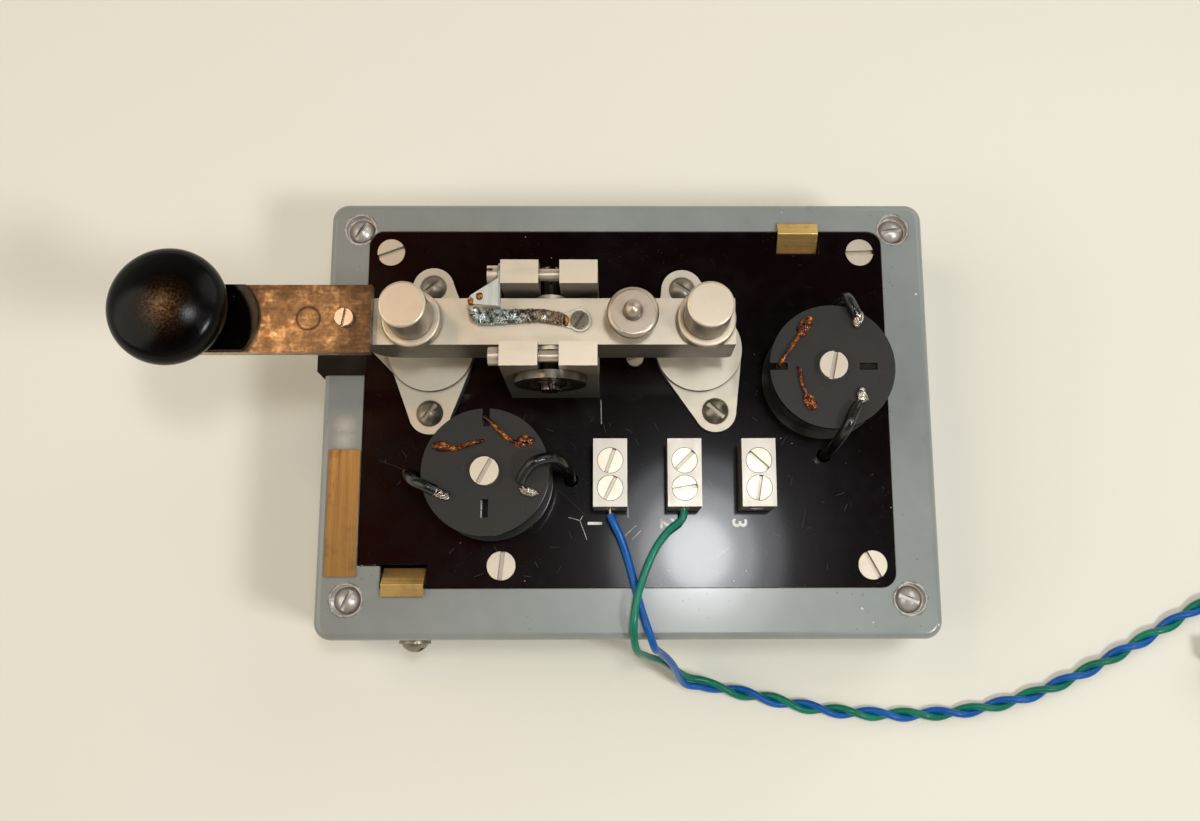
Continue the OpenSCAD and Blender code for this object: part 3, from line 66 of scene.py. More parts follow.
# %% [markdown]
# ## The camera
# The photograph was taken from above the front edge of the case, a forearm's length
# away. The lens, the place and the small tilt were solved from straight edges and
# round heads whose sizes are known, so the render lines up with the picture. The
# optical axis isn't in the middle of the picture, which the two small shifts give.

# %% Set the camera up
camera_data = bpy.data.cameras.new("photo_camera")
camera_data.sensor_width = 36
camera_data.lens = 36.045
camera_data.shift_x = -0.02095
camera_data.shift_y = -0.02088
camera_data.clip_start = 0.01
camera = bpy.data.objects.new("photo_camera", camera_data)
camera.location = (-0.004488, -0.061485, 0.389316)
camera.rotation_euler = (0.1999, -0.0100, -0.0030)
bpy.context.scene.collection.objects.link(camera)
bpy.context.scene.camera = camera

# %% [markdown]
# ## Helpers for wires
# Leads, braids and winding wires are all round tubes along a curve. A smooth curve
# comes from a few chosen points by the same spline that the CAD uses. The tube is
# built ring by ring, and each ring's frame is carried on from the last one, so the
# tube never twists by itself and a pair can be wound round it on purpose.

# %% Splines, frames and tubes
def mm(*v):
    return Vector([c / 1000 for c in v])


def smooth(points, steps):
    """Points on a spline through the given points, with that many steps in each span."""
    last = len(points) - 1
    out = []
    for i in range(last):
        a, b = points[max(i - 1, 0)], points[i]
        c, d = points[min(i + 1, last)], points[min(i + 2, last)]
        for k in range(steps):
            t = k / steps
            out.append(0.5 * (2 * b + (c - a) * t + (2 * a - 5 * b + 4 * c - d) * t * t
                              + (3 * b - a - 3 * c + d) * t ** 3))
    return out + [points[last]]


def carried_frames(points, first):
    """A heading and two sideways directions for each point, carried along without twist."""
    frames, side = [], Vector(first)
    for i in range(len(points)):
        heading = (points[min(i + 1, len(points) - 1)] - points[max(i - 1, 0)]).normalized()
        side = (side - side.dot(heading) * heading).normalized()
        frames.append((heading, side, heading.cross(side)))
    return frames


def add_tube(verts, faces, points, radius, sides=10):
    """Adds a closed round tube along points to the lists of a mesh being made."""
    start = len(verts)
    for point, (heading, side, up) in zip(points, carried_frames(points, (0, 0, 1))):
        for k in range(sides):
            turn = 2 * math.pi * k / sides
            verts.append(point + radius * (math.cos(turn) * side + math.sin(turn) * up))
    for i in range(len(points) - 1):
        for k in range(sides):
            a, b = start + i * sides + k, start + i * sides + (k + 1) % sides
            faces.append((a, b, b + sides, a + sides))
    faces.append(tuple(start + k for k in reversed(range(sides))))
    faces.append(tuple(start + (len(points) - 1) * sides + k for k in range(sides)))


def new_piece(name, verts, faces, material, smooth_shaded=True):
    mesh = bpy.data.meshes.new(name)
    mesh.from_pydata([tuple(v) for v in verts], [], faces)
    mesh.update()
    if smooth_shaded:
        mesh.polygons.foreach_set("use_smooth", [True] * len(mesh.polygons))
        mesh.set_sharp_from_angle(angle=math.radians(50))
    mesh.materials.append(material)
    piece = bpy.data.objects.new(name, mesh)
    bpy.context.scene.collection.objects.link(piece)
    return piece


def wire_piece(name, routes, radius, material, sides=10):
    """One mesh that holds a tube along each of the routes."""
    verts, faces = [], []
    for route in routes:
        add_tube(verts, faces, route, radius, sides)
    return new_piece(name, verts, faces, material)


def length_of(points):
    return sum((b - a).length for a, b in zip(points, points[1:]))


# %% [markdown]
# ## Building materials from nodes
# Every finish here is procedural: it is worked out from the place on the object, so
# it needs no picture and has the same scale on every piece. A small helper adds a
# node, sets its values and joins its inputs. The others give short names to what the
# recipes use most: sums, fades between two values, and layers laid over a base.

# %% Node helpers
def add(tree, kind, inputs=None, **settings):
    node = tree.nodes.new("ShaderNode" + kind)
    for key, value in settings.items():
        setattr(node, key, value)
    for key, value in (inputs or {}).items():
        socket = node.inputs[key]
        if isinstance(value, bpy.types.NodeSocket):
            tree.links.new(value, socket)
        else:
            socket.default_value = value
    return node


def math_node(tree, operation, a, b=0.0, clamp=False):
    return add(tree, "Math", {0: a, 1: b}, operation=operation, use_clamp=clamp).outputs["Value"]


def times(tree, product, *factors):
    for factor in factors:
        product = math_node(tree, "MULTIPLY", product, factor)
    return product


def plus(tree, a, b):
    return math_node(tree, "ADD", a, b)


def minus(tree, a, b):
    return math_node(tree, "SUBTRACT", a, b)


def less(tree, a, b):
    """1 where a is less than b, and else 0."""
    return math_node(tree, "LESS_THAN", a, b)


def fade(tree, value, start, end, low=0.0, high=1.0):
    """Goes evenly from low to high while the value goes from start to end."""
    ends = {"Value": value, "From Min": start, "From Max": end, "To Min": low, "To Max": high}
    return add(tree, "MapRange", ends).outputs["Result"]


def ramp(tree, factor, *stops):
    """A colour ramp: stops are (place, grey or colour)."""
    node = tree.nodes.new("ShaderNodeValToRGB")
    while len(node.color_ramp.elements) < len(stops):
        node.color_ramp.elements.new(0.5)
    for element, (place, colour) in zip(node.color_ramp.elements, stops):
        element.position = place
        element.color = (*colour, 1) if isinstance(colour, tuple) else (colour, colour, colour, 1)
    tree.links.new(factor, node.inputs["Fac"])
    return node.outputs["Color"]


def layers(tree, base, *coats):
    """Lays colours over a base where their masks are bright: (mask, colour) or (mask, colour, share)."""
    for mask, colour, *share in coats:
        mix = {0: times(tree, mask, *share)}
        for socket, value in ((6, base), (7, colour)):
            mix[socket] = (*value, 1) if isinstance(value, tuple) else value
        base = add(tree, "Mix", mix, data_type="RGBA").outputs[2]
    return base


def object_place(tree):
    return tree.nodes.new("ShaderNodeTexCoord").outputs["Object"]


def axes(tree, vector=None):
    """The X, Y and Z of a vector, or else of the place on the object."""
    return add(tree, "SeparateXYZ", {0: vector or object_place(tree)}).outputs


def true_normal(tree):
    return tree.nodes.new("ShaderNodeNewGeometry").outputs["Normal"]


def levelness(tree):
    """1 on a face that looks straight up or down, 0 on an upright one."""
    return math_node(tree, "ABSOLUTE", axes(tree, true_normal(tree))["Z"])


def vectors(tree, operation, a, b):
    """Works on two vectors; a distance or a dot product comes out as a value."""
    node = add(tree, "VectorMath", {0: a, 1: b}, operation=operation)
    return node.outputs["Value" if operation in ("DISTANCE", "DOT_PRODUCT") else "Vector"]


def gap_to(tree, spot, place=None):
    return vectors(tree, "DISTANCE", place or object_place(tree), spot)


def cloud(tree, scale, detail):
    noise_inputs = {"Vector": object_place(tree), "Scale": scale, "Detail": detail}
    return add(tree, "TexNoise", noise_inputs).outputs["Fac"]


def bump(tree, height, strength, distance=0.0002):
    return add(tree, "Bump", {"Height": height, "Strength": strength, "Distance": distance}).outputs["Normal"]


def new_group(name, output, **inputs):
    """An empty node group with named inputs and one output, and the sockets at its two ends."""
    group = bpy.data.node_groups.new(name, "ShaderNodeTree")
    for label, value in inputs.items():
        kind = "Vector" if isinstance(value, tuple) else "Float"
        socket = group.interface.new_socket(name=label, in_out="INPUT", socket_type="NodeSocket" + kind)
        socket.default_value = value
    group.interface.new_socket(name=output, in_out="OUTPUT", socket_type="NodeSocketFloat")
    return group, group.nodes.new("NodeGroupInput").outputs, group.nodes.new("NodeGroupOutput").inputs[output]


def use_group(tree, group, **values):
    inputs = {label.capitalize(): value for label, value in values.items()}
    return add(tree, "Group", inputs, node_tree=group).outputs[0]


def new_material(name, colour, roughness, metallic=0.0, coat=0.0, specular=0.5, coat_roughness=0.08):
    material = bpy.data.materials.new(name)
    material.use_nodes = True
    shader = material.node_tree.nodes["Principled BSDF"]
    for label, value in {"Base Color": (*colour, 1), "Roughness": roughness, "Metallic": metallic,
                         "Coat Weight": coat, "Coat Roughness": coat_roughness,
                         "Specular IOR Level": specular}.items():
        shader.inputs[label].default_value = value
    material.diffuse_color = (*colour, 1)
    return material, material.node_tree, shader


def drive(tree, shader, **values):
    """Joins outputs to the shader: Base_Color=..., Roughness=..., and so on."""
    for label, value in values.items():
        tree.links.new(value, shader.inputs[label.replace("_", " ")])


# %% [markdown]
# ## Edge wear
# Paint and plating go first along edges and corners. A Bevel node softens the normal
# near an edge, so where it differs from the true normal there is an edge. Noise then
# breaks the line up, because real wear comes in patches.

# %% The edge wear group
edge_wear, given, result = new_group("edge_wear", "Mask", Radius=0.0006, Amount=0.5, Grain=400.0)
soft = add(edge_wear, "Bevel", {"Radius": given["Radius"]}, samples=4).outputs["Normal"]
alike = vectors(edge_wear, "DOT_PRODUCT", soft, true_normal(edge_wear))
differ = math_node(edge_wear, "MULTIPLY", minus(edge_wear, 1.0, alike), 9.0, clamp=True)
patches = plus(edge_wear, cloud(edge_wear, given["Grain"], 4.0), given["Amount"])
worn = math_node(edge_wear, "MULTIPLY", times(edge_wear, differ, patches), 1.6, clamp=True)
edge_wear.links.new(fade(edge_wear, worn, 0.35, 0.75), result)
print("made the group", edge_wear.name)

# %% [markdown]
# ## Specks and chips
# Small round marks, such as dust, pin holes and paint chips, are the cells of a
# Voronoi texture cut down to their middles. A second noise lets them gather in some
# places and leaves others clean.

# %% The specks group
specks, given, result = new_group("specks", "Mask", Scale=300.0, Size=0.12, Crowd=0.5)
cells = add(specks, "TexVoronoi", {"Vector": object_place(specks), "Scale": given["Scale"]}).outputs
near = less(specks, cells["Distance"], given["Size"])
gather = less(specks, given["Crowd"], cloud(specks, 45.0, 3.0))
specks.links.new(times(specks, near, gather), result)
print("made the group", specks.name)

# %% [markdown]
# ## Hairline scratches
# A scratch is short and straight. Each cell of a flat Voronoi texture gives one: the
# cell's own random colour sets its angle and its length, and most cells stay clean.

# %% The hairlines group
hairlines, given, result = new_group("hairlines", "Mask", Scale=120.0, Reach=0.003, Width=0.00006, Share=0.3)
place = object_place(hairlines)
cells = add(hairlines, "TexVoronoi", {"Vector": place, "Scale": given["Scale"]},
            voronoi_dimensions="2D").outputs
chance = add(hairlines, "SeparateColor", {"Color": cells["Color"]}).outputs
away = vectors(hairlines, "SUBTRACT", place, cells["Position"])
turn = times(hairlines, chance["Red"], 2 * math.pi)
spun = add(hairlines, "VectorRotate", {"Vector": away, "Angle": turn}, rotation_type="Z_AXIS")
line = axes(hairlines, spun.outputs["Vector"])
thin = less(hairlines, math_node(hairlines, "ABSOLUTE", line["Y"]), given["Width"])
reach = times(hairlines, chance["Green"], given["Reach"])
short = less(hairlines, math_node(hairlines, "ABSOLUTE", line["X"]), reach)
picked = less(hairlines, chance["Blue"], given["Share"])
hairlines.links.new(times(hairlines, thin, short, picked), result)
print("made the group", hairlines.name)

# %% [markdown]
# ## Crevices: dirt and painted shade
# Dirt gathers where two surfaces meet and in slots, and shade falls there too; this
# mask paints both, as dirt and painted shade. An Ambient Occlusion node finds such places:
# it looks a short way round each point for other surfaces.

# %% The crevice group
crevice_dirt_and_shade, given, result = new_group("crevice_dirt_and_shade", "Mask", Reach=0.001)
openness = add(crevice_dirt_and_shade, "AmbientOcclusion", {"Distance": given["Reach"]}, samples=6).outputs["AO"]
crevice_dirt_and_shade.links.new(fade(crevice_dirt_and_shade, openness, 0.35, 0.85, 1.0, 0.0), result)
print("made the group", crevice_dirt_and_shade.name)

# %% [markdown]
# ## Mottle
# No real surface has one even colour. This slow noise, with a finer one laid over it,
# is mixed into colour and roughness wherever a finish has to look handled.

# %% The mottle group
mottle, given, result = new_group("mottle", "Value", Scale=40.0, Contrast=0.5)
slow = add(mottle, "TexNoise", {"Vector": object_place(mottle), "Scale": given["Scale"], "Detail": 3.0,
                                "Roughness": 0.6}).outputs["Fac"]
quick = cloud(mottle, times(mottle, given["Scale"], 7.0), 4.0)
mixed = plus(mottle, times(mottle, slow, 0.65), times(mottle, quick, 0.35))
spread = times(mottle, minus(mottle, mixed, 0.5), given["Contrast"])
mottle.links.new(math_node(mottle, "ADD", spread, 0.5, clamp=True), result)
print("made the group", mottle.name)


def mottled(tree, scale, contrast):
    return use_group(tree, mottle, scale=scale, contrast=contrast)


# %% [markdown]
# ## Brushed grain
# A brushed or drawn metal has fine lines along one direction. They are noise that is
# squeezed across the grain, so the stretch is given for each axis.

# %% The brushed grain group
brushed, given, result = new_group("brushed_grain", "Value", Stretch=(20.0, 900.0, 900.0))
along = vectors(brushed, "MULTIPLY", object_place(brushed), given["Stretch"])
lines = add(brushed, "TexNoise", {"Vector": along, "Scale": 1.0, "Detail": 5.0, "Roughness": 0.6})
brushed.links.new(lines.outputs["Fac"], result)
print("made the group", brushed.name)

# %% [markdown]
# ## Shade on upright faces
# Upright faces are painted darker here, as painted shade. The normal's upward part tells
# the two kinds of face apart.

# %% The upright faces group
upright, given, result = new_group("upright_face_shade", "Mask", Start=0.75)
level = math_node(upright, "DIVIDE", levelness(upright), given["Start"])
upright.links.new(fade(upright, level, 0.15, 1.0, 1.0, 0.0), result)
print("made the group", upright.name)

# %% [markdown]
# ## The stove enamel of the case
# The case is an iron casting under a grey-green gloss enamel. The paint is smooth but
# not flat, dusty in places, chipped on the corners, and worn to bright metal round the
# four counterbores where a screwdriver has slipped. Painted warm light makes it browner
# towards the left, a pale painted highlight lies on the left rim, and the notch under
# the arm is painted near black as painted shade, because little light reaches it.

# %% Case enamel
def spots_near(tree, spots, inner, outer):
    """A ragged mask that is 1 near any of the upright axes in spots."""
    flat = vectors(tree, "MULTIPLY", object_place(tree), (1, 1, 0))
    nearest = None
    for x, y in spots:
        gap = gap_to(tree, (x, y, 0), flat)
        nearest = gap if nearest is None else math_node(tree, "MINIMUM", nearest, gap)
    ragged = plus(tree, nearest, times(tree, cloud(tree, 700.0, 3.0), 0.0011))
    return fade(tree, ragged, inner, outer, 1.0, 0.0)


WHITE_CHIPS = [(0.0861, 0.0362), (0.0877, -0.0606), (0.0468, 0.0619), (-0.0852, -0.0575)]
# two spots on the left rim that get a pale painted highlight
PAINTED_HIGHLIGHT_PLACES = [(-0.0822, -0.0035), (-0.0822, -0.0075)]
CASE_SCREWS = [(x, y) for x in (-0.080, 0.080) for y in (0.0563, -0.0534)]
NOTCH_RIGHT, NOTCH_HALF_WIDTH, NOTCH_LOW, NOTCH_HIGH = -0.0745, 0.0078, 0.0285, 0.0408
case_enamel, tree, shader = new_material("case_enamel", (0.23, 0.255, 0.24), 0.3, coat=0.42)
tone = mottled(tree, 28.0, 0.9)
pale = use_group(tree, specks, scale=170.0, size=0.07, crowd=0.6)
pits = ramp(tree, mottled(tree, 420.0, 2.2), (0.35, (0.05, 0.045, 0.04)), (0.65, (0.34, 0.33, 0.31)))
bright = spots_near(tree, CASE_SCREWS, 0.005, 0.0054)
place = axes(tree)
from_lever = math_node(tree, "ABSOLUTE", minus(tree, place["Y"], LEVER_Y / 1000))
# painted shade: the notch under the arm is coloured near black
notch_painted_shade = times(tree, less(tree, place["X"], NOTCH_RIGHT), less(tree, from_lever, NOTCH_HALF_WIDTH),
              less(tree, NOTCH_LOW, place["Z"]), less(tree, place["Z"], NOTCH_HIGH))
paint = layers(
    tree, ramp(tree, tone, (0.3, (0.222, 0.24, 0.222)), (0.7, (0.28, 0.3, 0.28))),
    # painted warm light: the enamel is browner towards the left
    (fade(tree, place["X"], -0.09, -0.0096, 0.34, 0.0), (0.2, 0.165, 0.13)),
    (use_group(tree, specks, scale=420.0, size=0.1, crowd=0.56), (0.05, 0.05, 0.045), 0.45),
    (pale, (0.62, 0.6, 0.55)),
    (use_group(tree, edge_wear, radius=0.0005, amount=0.12, grain=160.0), (0.17, 0.13, 0.1)),
    (spots_near(tree, CASE_SCREWS, 0.0053, 0.0058), pits),
    (spots_near(tree, WHITE_CHIPS, 0.0005, 0.0009), (0.8, 0.78, 0.72)),
    # painted highlight on the left rim
    (spots_near(tree, PAINTED_HIGHLIGHT_PLACES, 0.0005, 0.0045), (0.62, 0.56, 0.47), 0.55),
    # dirt and painted shade in the crevices
    (use_group(tree, crevice_dirt_and_shade, reach=0.0012), (0.05, 0.03, 0.02), 0.6),
    (bright, (0.62, 0.57, 0.5), 0.85),
    (notch_painted_shade, (0.008, 0.006, 0.005)))
drive(tree, shader, Base_Color=paint, Roughness=fade(tree, tone, 0.2, 0.8, 0.22, 0.4),
      Metallic=times(tree, bright, 0.25),
      Normal=bump(tree, minus(tree, tone, times(tree, pale, 0.5)), 0.25, 0.0003))
print("made", case_enamel.name)

# %% [markdown]
# ## The polished deck
# The deck is a sheet of paper laminate: near black and polished on top, brown where a
# saw has cut its edges. Its scratches are painted paler towards the front, a painted
# highlight where the lamp's glare lies, and its left side is painted browner as painted
# warm light. Its polish mirrors the parts that stand on it, so its base must be very
# dark. The mirror is in the coat, which stays smooth, while the base under it is rougher.

# %% Deck laminate
deck_laminate, tree, shader = new_material("deck_laminate", (0.008, 0.004, 0.003), 0.22, coat=0.42,
                                           specular=0.06, coat_roughness=0.075)
place = axes(tree)
long_lines = use_group(tree, hairlines, scale=85.0, reach=0.0065, width=0.00003, share=0.1)
short_lines = use_group(tree, hairlines, scale=260.0, reach=0.0014, width=0.00004, share=0.16)
# painted highlight: the scratches are paler towards the front, where the glare lies
lines = times(tree, math_node(tree, "MAXIMUM", long_lines, short_lines),
              fade(tree, place["Y"], -0.005, 0.015, 1.0, 0.15))
smear = mottled(tree, 35.0, 1.6)
# painted warm light: the deck is browner towards the left
left_glow = ramp(tree, fade(tree, place["X"], -0.08, 0.0813), (0.0, (0.011, 0.0014, 0.0004)),
                 (0.35, (0.004, 0.0008, 0.0006)), (1.0, (0.0035, 0.001, 0.0012)))
top = layers(
    tree, left_glow,
    (fade(tree, smear, 0.4, 0.8, 0.0, 0.6), (0.007, 0.0045, 0.005)),
    (lines, (0.2, 0.17, 0.16), 0.45),
    (use_group(tree, specks, scale=330.0, size=0.055, crowd=0.56), (0.34, 0.27, 0.23)),
    (use_group(tree, specks, scale=900.0, size=0.09, crowd=0.55), (0.14, 0.09, 0.07), 0.4),
    (fade(tree, levelness(tree), 0.3, 0.6, 1.0, 0.0), (0.1, 0.045, 0.02)))
drive(tree, shader, Base_Color=top,
      Roughness=plus(tree, fade(tree, smear, 0.3, 0.8, 0.2, 0.3), times(tree, lines, 0.25)),
      Normal=bump(tree, plus(tree, smear, times(tree, lines, 0.4)), 0.06, 0.0001))
print("made", deck_laminate.name)

# %% [markdown]
# ## Satin nickel
# The lever, the bracket, the contact plates and the hand screws are plated with dull
# nickel: a warm pale grey that hardly mirrors. Fine cross grain and a few dark pits keep
# it from looking new. The hollows get brown dirt with painted shade, and the upright faces
# are painted darker as painted shade.

# %% Nickel finishes
def nickel(name, colour, roughness, stretch, pits=0.5, tinge=0.3, metallic=0.75, upright_shade=0.72):
    material, tree, shader = new_material(name, colour, roughness, metallic=metallic)
    tone = mottled(tree, 60.0, 1.0)
    grain = use_group(tree, brushed, stretch=stretch)
    warm = tuple(c * k for c, k in zip(colour, (0.93, 0.84, 0.7)))
    base = layers(
        tree, colour,
        (fade(tree, tone, 0.45, 0.8, 0.0, tinge), warm),
        (use_group(tree, specks, scale=520.0, size=0.08, crowd=0.64 - 0.12 * pits), (0.1, 0.08, 0.06), 0.5),
        # painted shade on the upright faces
        (use_group(tree, upright), (0.045, 0.036, 0.027), upright_shade),
        (use_group(tree, edge_wear, radius=0.00035, amount=0.1, grain=600.0), (0.8, 0.74, 0.64), 0.15),
        # dirt and painted shade in the crevices
        (use_group(tree, crevice_dirt_and_shade, reach=0.0011), (0.06, 0.035, 0.02), 0.75))
    drive(tree, shader, Base_Color=base, Normal=bump(tree, grain, 0.12, 0.00006),
          Roughness=plus(tree, fade(tree, tone, 0.2, 0.8, roughness - 0.06, roughness + 0.08),
                         times(tree, minus(tree, grain, 0.5), 0.25)))
    return material


lever_nickel = nickel("lever_nickel", (0.68, 0.595, 0.465), 0.42, (60.0, 500.0, 500.0))
plate_nickel = nickel("plate_nickel", (0.59, 0.53, 0.42), 0.44, (300.0, 300.0, 300.0))
adjuster_nickel = nickel("adjuster_nickel", (0.66, 0.56, 0.43), 0.38, (700.0, 700.0, 60.0), tinge=0.6,
                         upright_shade=0.6)
pivot_steel = nickel("pivot_steel", (0.11, 0.095, 0.075), 0.16, (60.0, 700.0, 60.0), pits=0.2,
                     metallic=1.0, upright_shade=0.3)
terminal_plate = nickel("terminal_plate", (0.54, 0.5, 0.43), 0.36, (500.0, 60.0, 500.0), pits=0.2,
                        metallic=0.4)
tension_plate = nickel("tension_plate", (0.5, 0.42, 0.33), 0.34, (700.0, 700.0, 60.0), pits=1.0, tinge=1.0)
disc_nut_plate = nickel("disc_nut_plate", (0.16, 0.14, 0.115), 0.3, (300.0, 60.0, 300.0), pits=0.6,
                        tinge=0.8, metallic=1.0)
silver_point = nickel("silver_point", (0.9, 0.89, 0.86), 0.25, (200.0, 200.0, 200.0), pits=0.1)
tag_metal = nickel("tag_metal", (0.95, 0.88, 0.7), 0.32, (400.0, 400.0, 400.0), pits=0.8, tinge=0.6,
                   metallic=0.3)

# %% [markdown]
# ## Screw heads
# The screws have been out before. Their heads are bright on the crown and painted
# darker down their slopes and in the slot, as painted shade, with brown dirt from grease
# and dust in noisy patches and in the slot. The lever has two small screws: the left one is paler.

# %% Screw finishes
BETWEEN_LEVER_SCREWS = -0.05


def screw_metal(name, colour, shade_and_dirt_share, roughness, metallic=0.7, at_left=None):
    material, tree, shader = new_material(name, colour, roughness, metallic=metallic)
    tone = mottled(tree, 130.0, 1.2)
    lines = use_group(tree, hairlines, scale=420.0, reach=0.0016, width=0.00003, share=0.5)
    # painted shade: darker where the head slopes away from its top
    side = fade(tree, levelness(tree), 0.1, 0.75, 0.9, 0.0)
    pits = fade(tree, tone, 0.5, 0.85, 0.0, 0.5)
    # painted shade and dirt together
    shade_and_dirt = math_node(tree, "MAXIMUM", times(tree, math_node(tree, "MAXIMUM", side, pits), shade_and_dirt_share),
                      times(tree, use_group(tree, crevice_dirt_and_shade, reach=0.0008), 0.92))
    if at_left:
        colour = layers(tree, colour, (less(tree, axes(tree)["X"], BETWEEN_LEVER_SCREWS), at_left))
    base = layers(tree, colour, (lines, (0.85, 0.84, 0.8), 0.4), (shade_and_dirt, (0.055, 0.035, 0.02)))
    drive(tree, shader, Base_Color=base, Normal=bump(tree, plus(tree, tone, lines), 0.03, 0.0001),
          Roughness=fade(tree, tone, 0.3, 0.8, roughness - 0.06, roughness + 0.12))
    return material


case_screw_metal = screw_metal("case_screw_metal", (0.6, 0.56, 0.51), 0.95, 0.34, metallic=0.6)
deck_screw_metal = screw_metal("deck_screw_metal", (0.63, 0.54, 0.42), 0.3, 0.36, metallic=0.5)
plate_screw_metal = screw_metal("plate_screw_metal", (0.3, 0.26, 0.2), 0.3, 0.36, metallic=0.9)
lever_screw_metal = screw_metal("lever_screw_metal", (0.22, 0.18, 0.13), 0.35, 0.26,
                                at_left=(0.74, 0.58, 0.44))
terminal_screw_metal = screw_metal("terminal_screw_metal", (0.78, 0.69, 0.55), 0.35, 0.36, metallic=0.4)

# %% [markdown]
# ## The bronze arm
# The arm that carries the knob is a strip of bronze under an old brown lacquer, with
# brighter metal on the rubbed parts. Streaks across the arm and slower patches add up
# to its waves. It is darker towards its right end and along its back edge, and a dark
# line runs round the head of its rivet.

# %% Bronze and brass finishes
RIVET_PLACE, RIVET_R = (-0.0847, LEVER_Y / 1000, 0.082), 0.0031
arm_bronze, tree, shader = new_material("arm_bronze", (0.4, 0.25, 0.13), 0.34, metallic=0.7)
streaks = use_group(tree, brushed, stretch=(70.0, 900.0, 70.0))
waves = plus(tree, times(tree, streaks, 0.4), times(tree, mottled(tree, 160.0, 2.2), 0.6))
place = axes(tree)
right_end = fade(tree, place["X"], -0.085, -0.0717, 0.0, 0.92)
back_edge = fade(tree, place["Y"], 0.0225, 0.0275, 0.0, 0.8)
# darker towards the right end and along the back edge
darker_end_and_back = times(tree, math_node(tree, "MAXIMUM", right_end, back_edge), fade(tree, waves, 0.3, 0.8, 1.0, 0.45))
from_rivet_edge = math_node(tree, "ABSOLUTE", minus(tree, gap_to(tree, RIVET_PLACE), RIVET_R))
lacquer = ramp(tree, waves, (0.3, (0.2, 0.105, 0.045)), (0.5, (0.31, 0.175, 0.08)), (0.72, (0.6, 0.38, 0.19)))
brown = layers(
    tree, lacquer,
    (fade(tree, mottled(tree, 75.0, 1.9), 0.35, 0.6, 0.45, 0.0), (0.16, 0.075, 0.028)),
    (darker_end_and_back, (0.07, 0.032, 0.012)),
    (fade(tree, from_rivet_edge, 0.00012, 0.0005, 0.85, 0.0), (0.05, 0.024, 0.012)),
    # dirt and painted shade in the crevices
    (use_group(tree, crevice_dirt_and_shade, reach=0.0012), (0.03, 0.015, 0.008), 0.8))
drive(tree, shader, Base_Color=brown, Roughness=fade(tree, waves, 0.3, 0.8, 0.44, 0.22),
      Normal=bump(tree, waves, 0.1, 0.0002))


def brass(name, colour, dark, stretch, roughness):
    material, tree, shader = new_material(name, colour, roughness, metallic=0.8)
    grain = use_group(tree, brushed, stretch=stretch)
    darker, darkest = (tuple(c * k for c in dark) for k in (0.35, 0.2))
    base = layers(
        tree, colour,
        (fade(tree, grain, 0.35, 0.65, 0.7, 0.0), dark),
        (fade(tree, mottled(tree, 70.0, 1.5), 0.5, 0.8, 0.0, 0.55), darker),
        # dirt and painted shade in the crevices
        (use_group(tree, crevice_dirt_and_shade, reach=0.0014), darkest, 0.6))
    drive(tree, shader, Base_Color=base, Normal=bump(tree, grain, 0.2, 0.0001),
          Roughness=fade(tree, grain, 0.3, 0.7, roughness + 0.14, roughness - 0.04))
    return material


label_brass = brass("label_brass", (0.4, 0.22, 0.07), (0.19, 0.09, 0.025), (1100.0, 25.0, 200.0), 0.3)
clip_brass = brass("clip_brass", (0.95, 0.63, 0.22), (0.5, 0.29, 0.08), (25.0, 900.0, 900.0), 0.28)
nut_brass = brass("nut_brass", (0.6, 0.46, 0.22), (0.34, 0.22, 0.08), (300.0, 300.0, 300.0), 0.4)
lug_metal = brass("lug_metal", (0.5, 0.54, 0.52), (0.3, 0.33, 0.31), (300.0, 60.0, 300.0), 0.34)
spring_steel = brass("spring_steel", (0.6, 0.58, 0.54), (0.3, 0.27, 0.23), (500.0, 500.0, 500.0), 0.3)

# %% [markdown]
# ## Ebonite and mouldings
# The knob and its foot are turned from hard black rubber, polished by hand and by use,
# and the knob has a warm speckled painted glint on its top. The choke flanges are a
# greyer moulding with a fine grain and glossy sides, painted darker as painted shade.
# Both are dark, told apart by how sharply they mirror.

# %% Black finishes
def black_plastic(name, colour, roughness, grain_scale, grain_strength, coat=0.0, tint=(0.05, 0.03, 0.02),
                  specular=0.5, shaded_polished_sides=False, glint_centre=None):
    """A black finish; glint_centre is the middle of a warm speckled painted glint."""
    material, tree, shader = new_material(name, colour, roughness, coat=coat, specular=specular)
    tone = mottled(tree, 55.0, 1.5)
    rough = fade(tree, tone, 0.2, 0.8, max(roughness - 0.05, 0.03), roughness + 0.1)
    coats = [(fade(tree, tone, 0.4, 0.8, 0.0, 0.6), tint),
             (use_group(tree, specks, scale=600.0, size=0.07, crowd=0.58), (0.32, 0.28, 0.24), 0.2)]
    if glint_centre:
        # painted glint: a warm speckled highlight on the knob's top
        centimetres = times(tree, gap_to(tree, glint_centre), 100.0)
        glint_falloff = ramp(tree, centimetres, (0.0, 1.0), (0.15, 0.8), (0.34, 0.2), (0.6, 0.03), (0.9, 0.0))
        glint_speckle = fade(tree, mottled(tree, 1500.0, 2.6), 0.35, 0.7, 0.1, 1.0)
        coats.append((times(tree, glint_falloff, glint_speckle), (0.62, 0.28, 0.1)))
    if shaded_polished_sides:
        # painted shade: the upright sides are coloured near black, and also made smoother
        side = use_group(tree, upright)
        coats.append((side, (0.003, 0.003, 0.003)))
        rough = times(tree, rough, minus(tree, 1.0, times(tree, side, 0.7)))
    drive(tree, shader, Base_Color=layers(tree, colour, *coats), Roughness=rough,
          Normal=bump(tree, cloud(tree, grain_scale, 6.0), grain_strength, 0.0001))
    return material


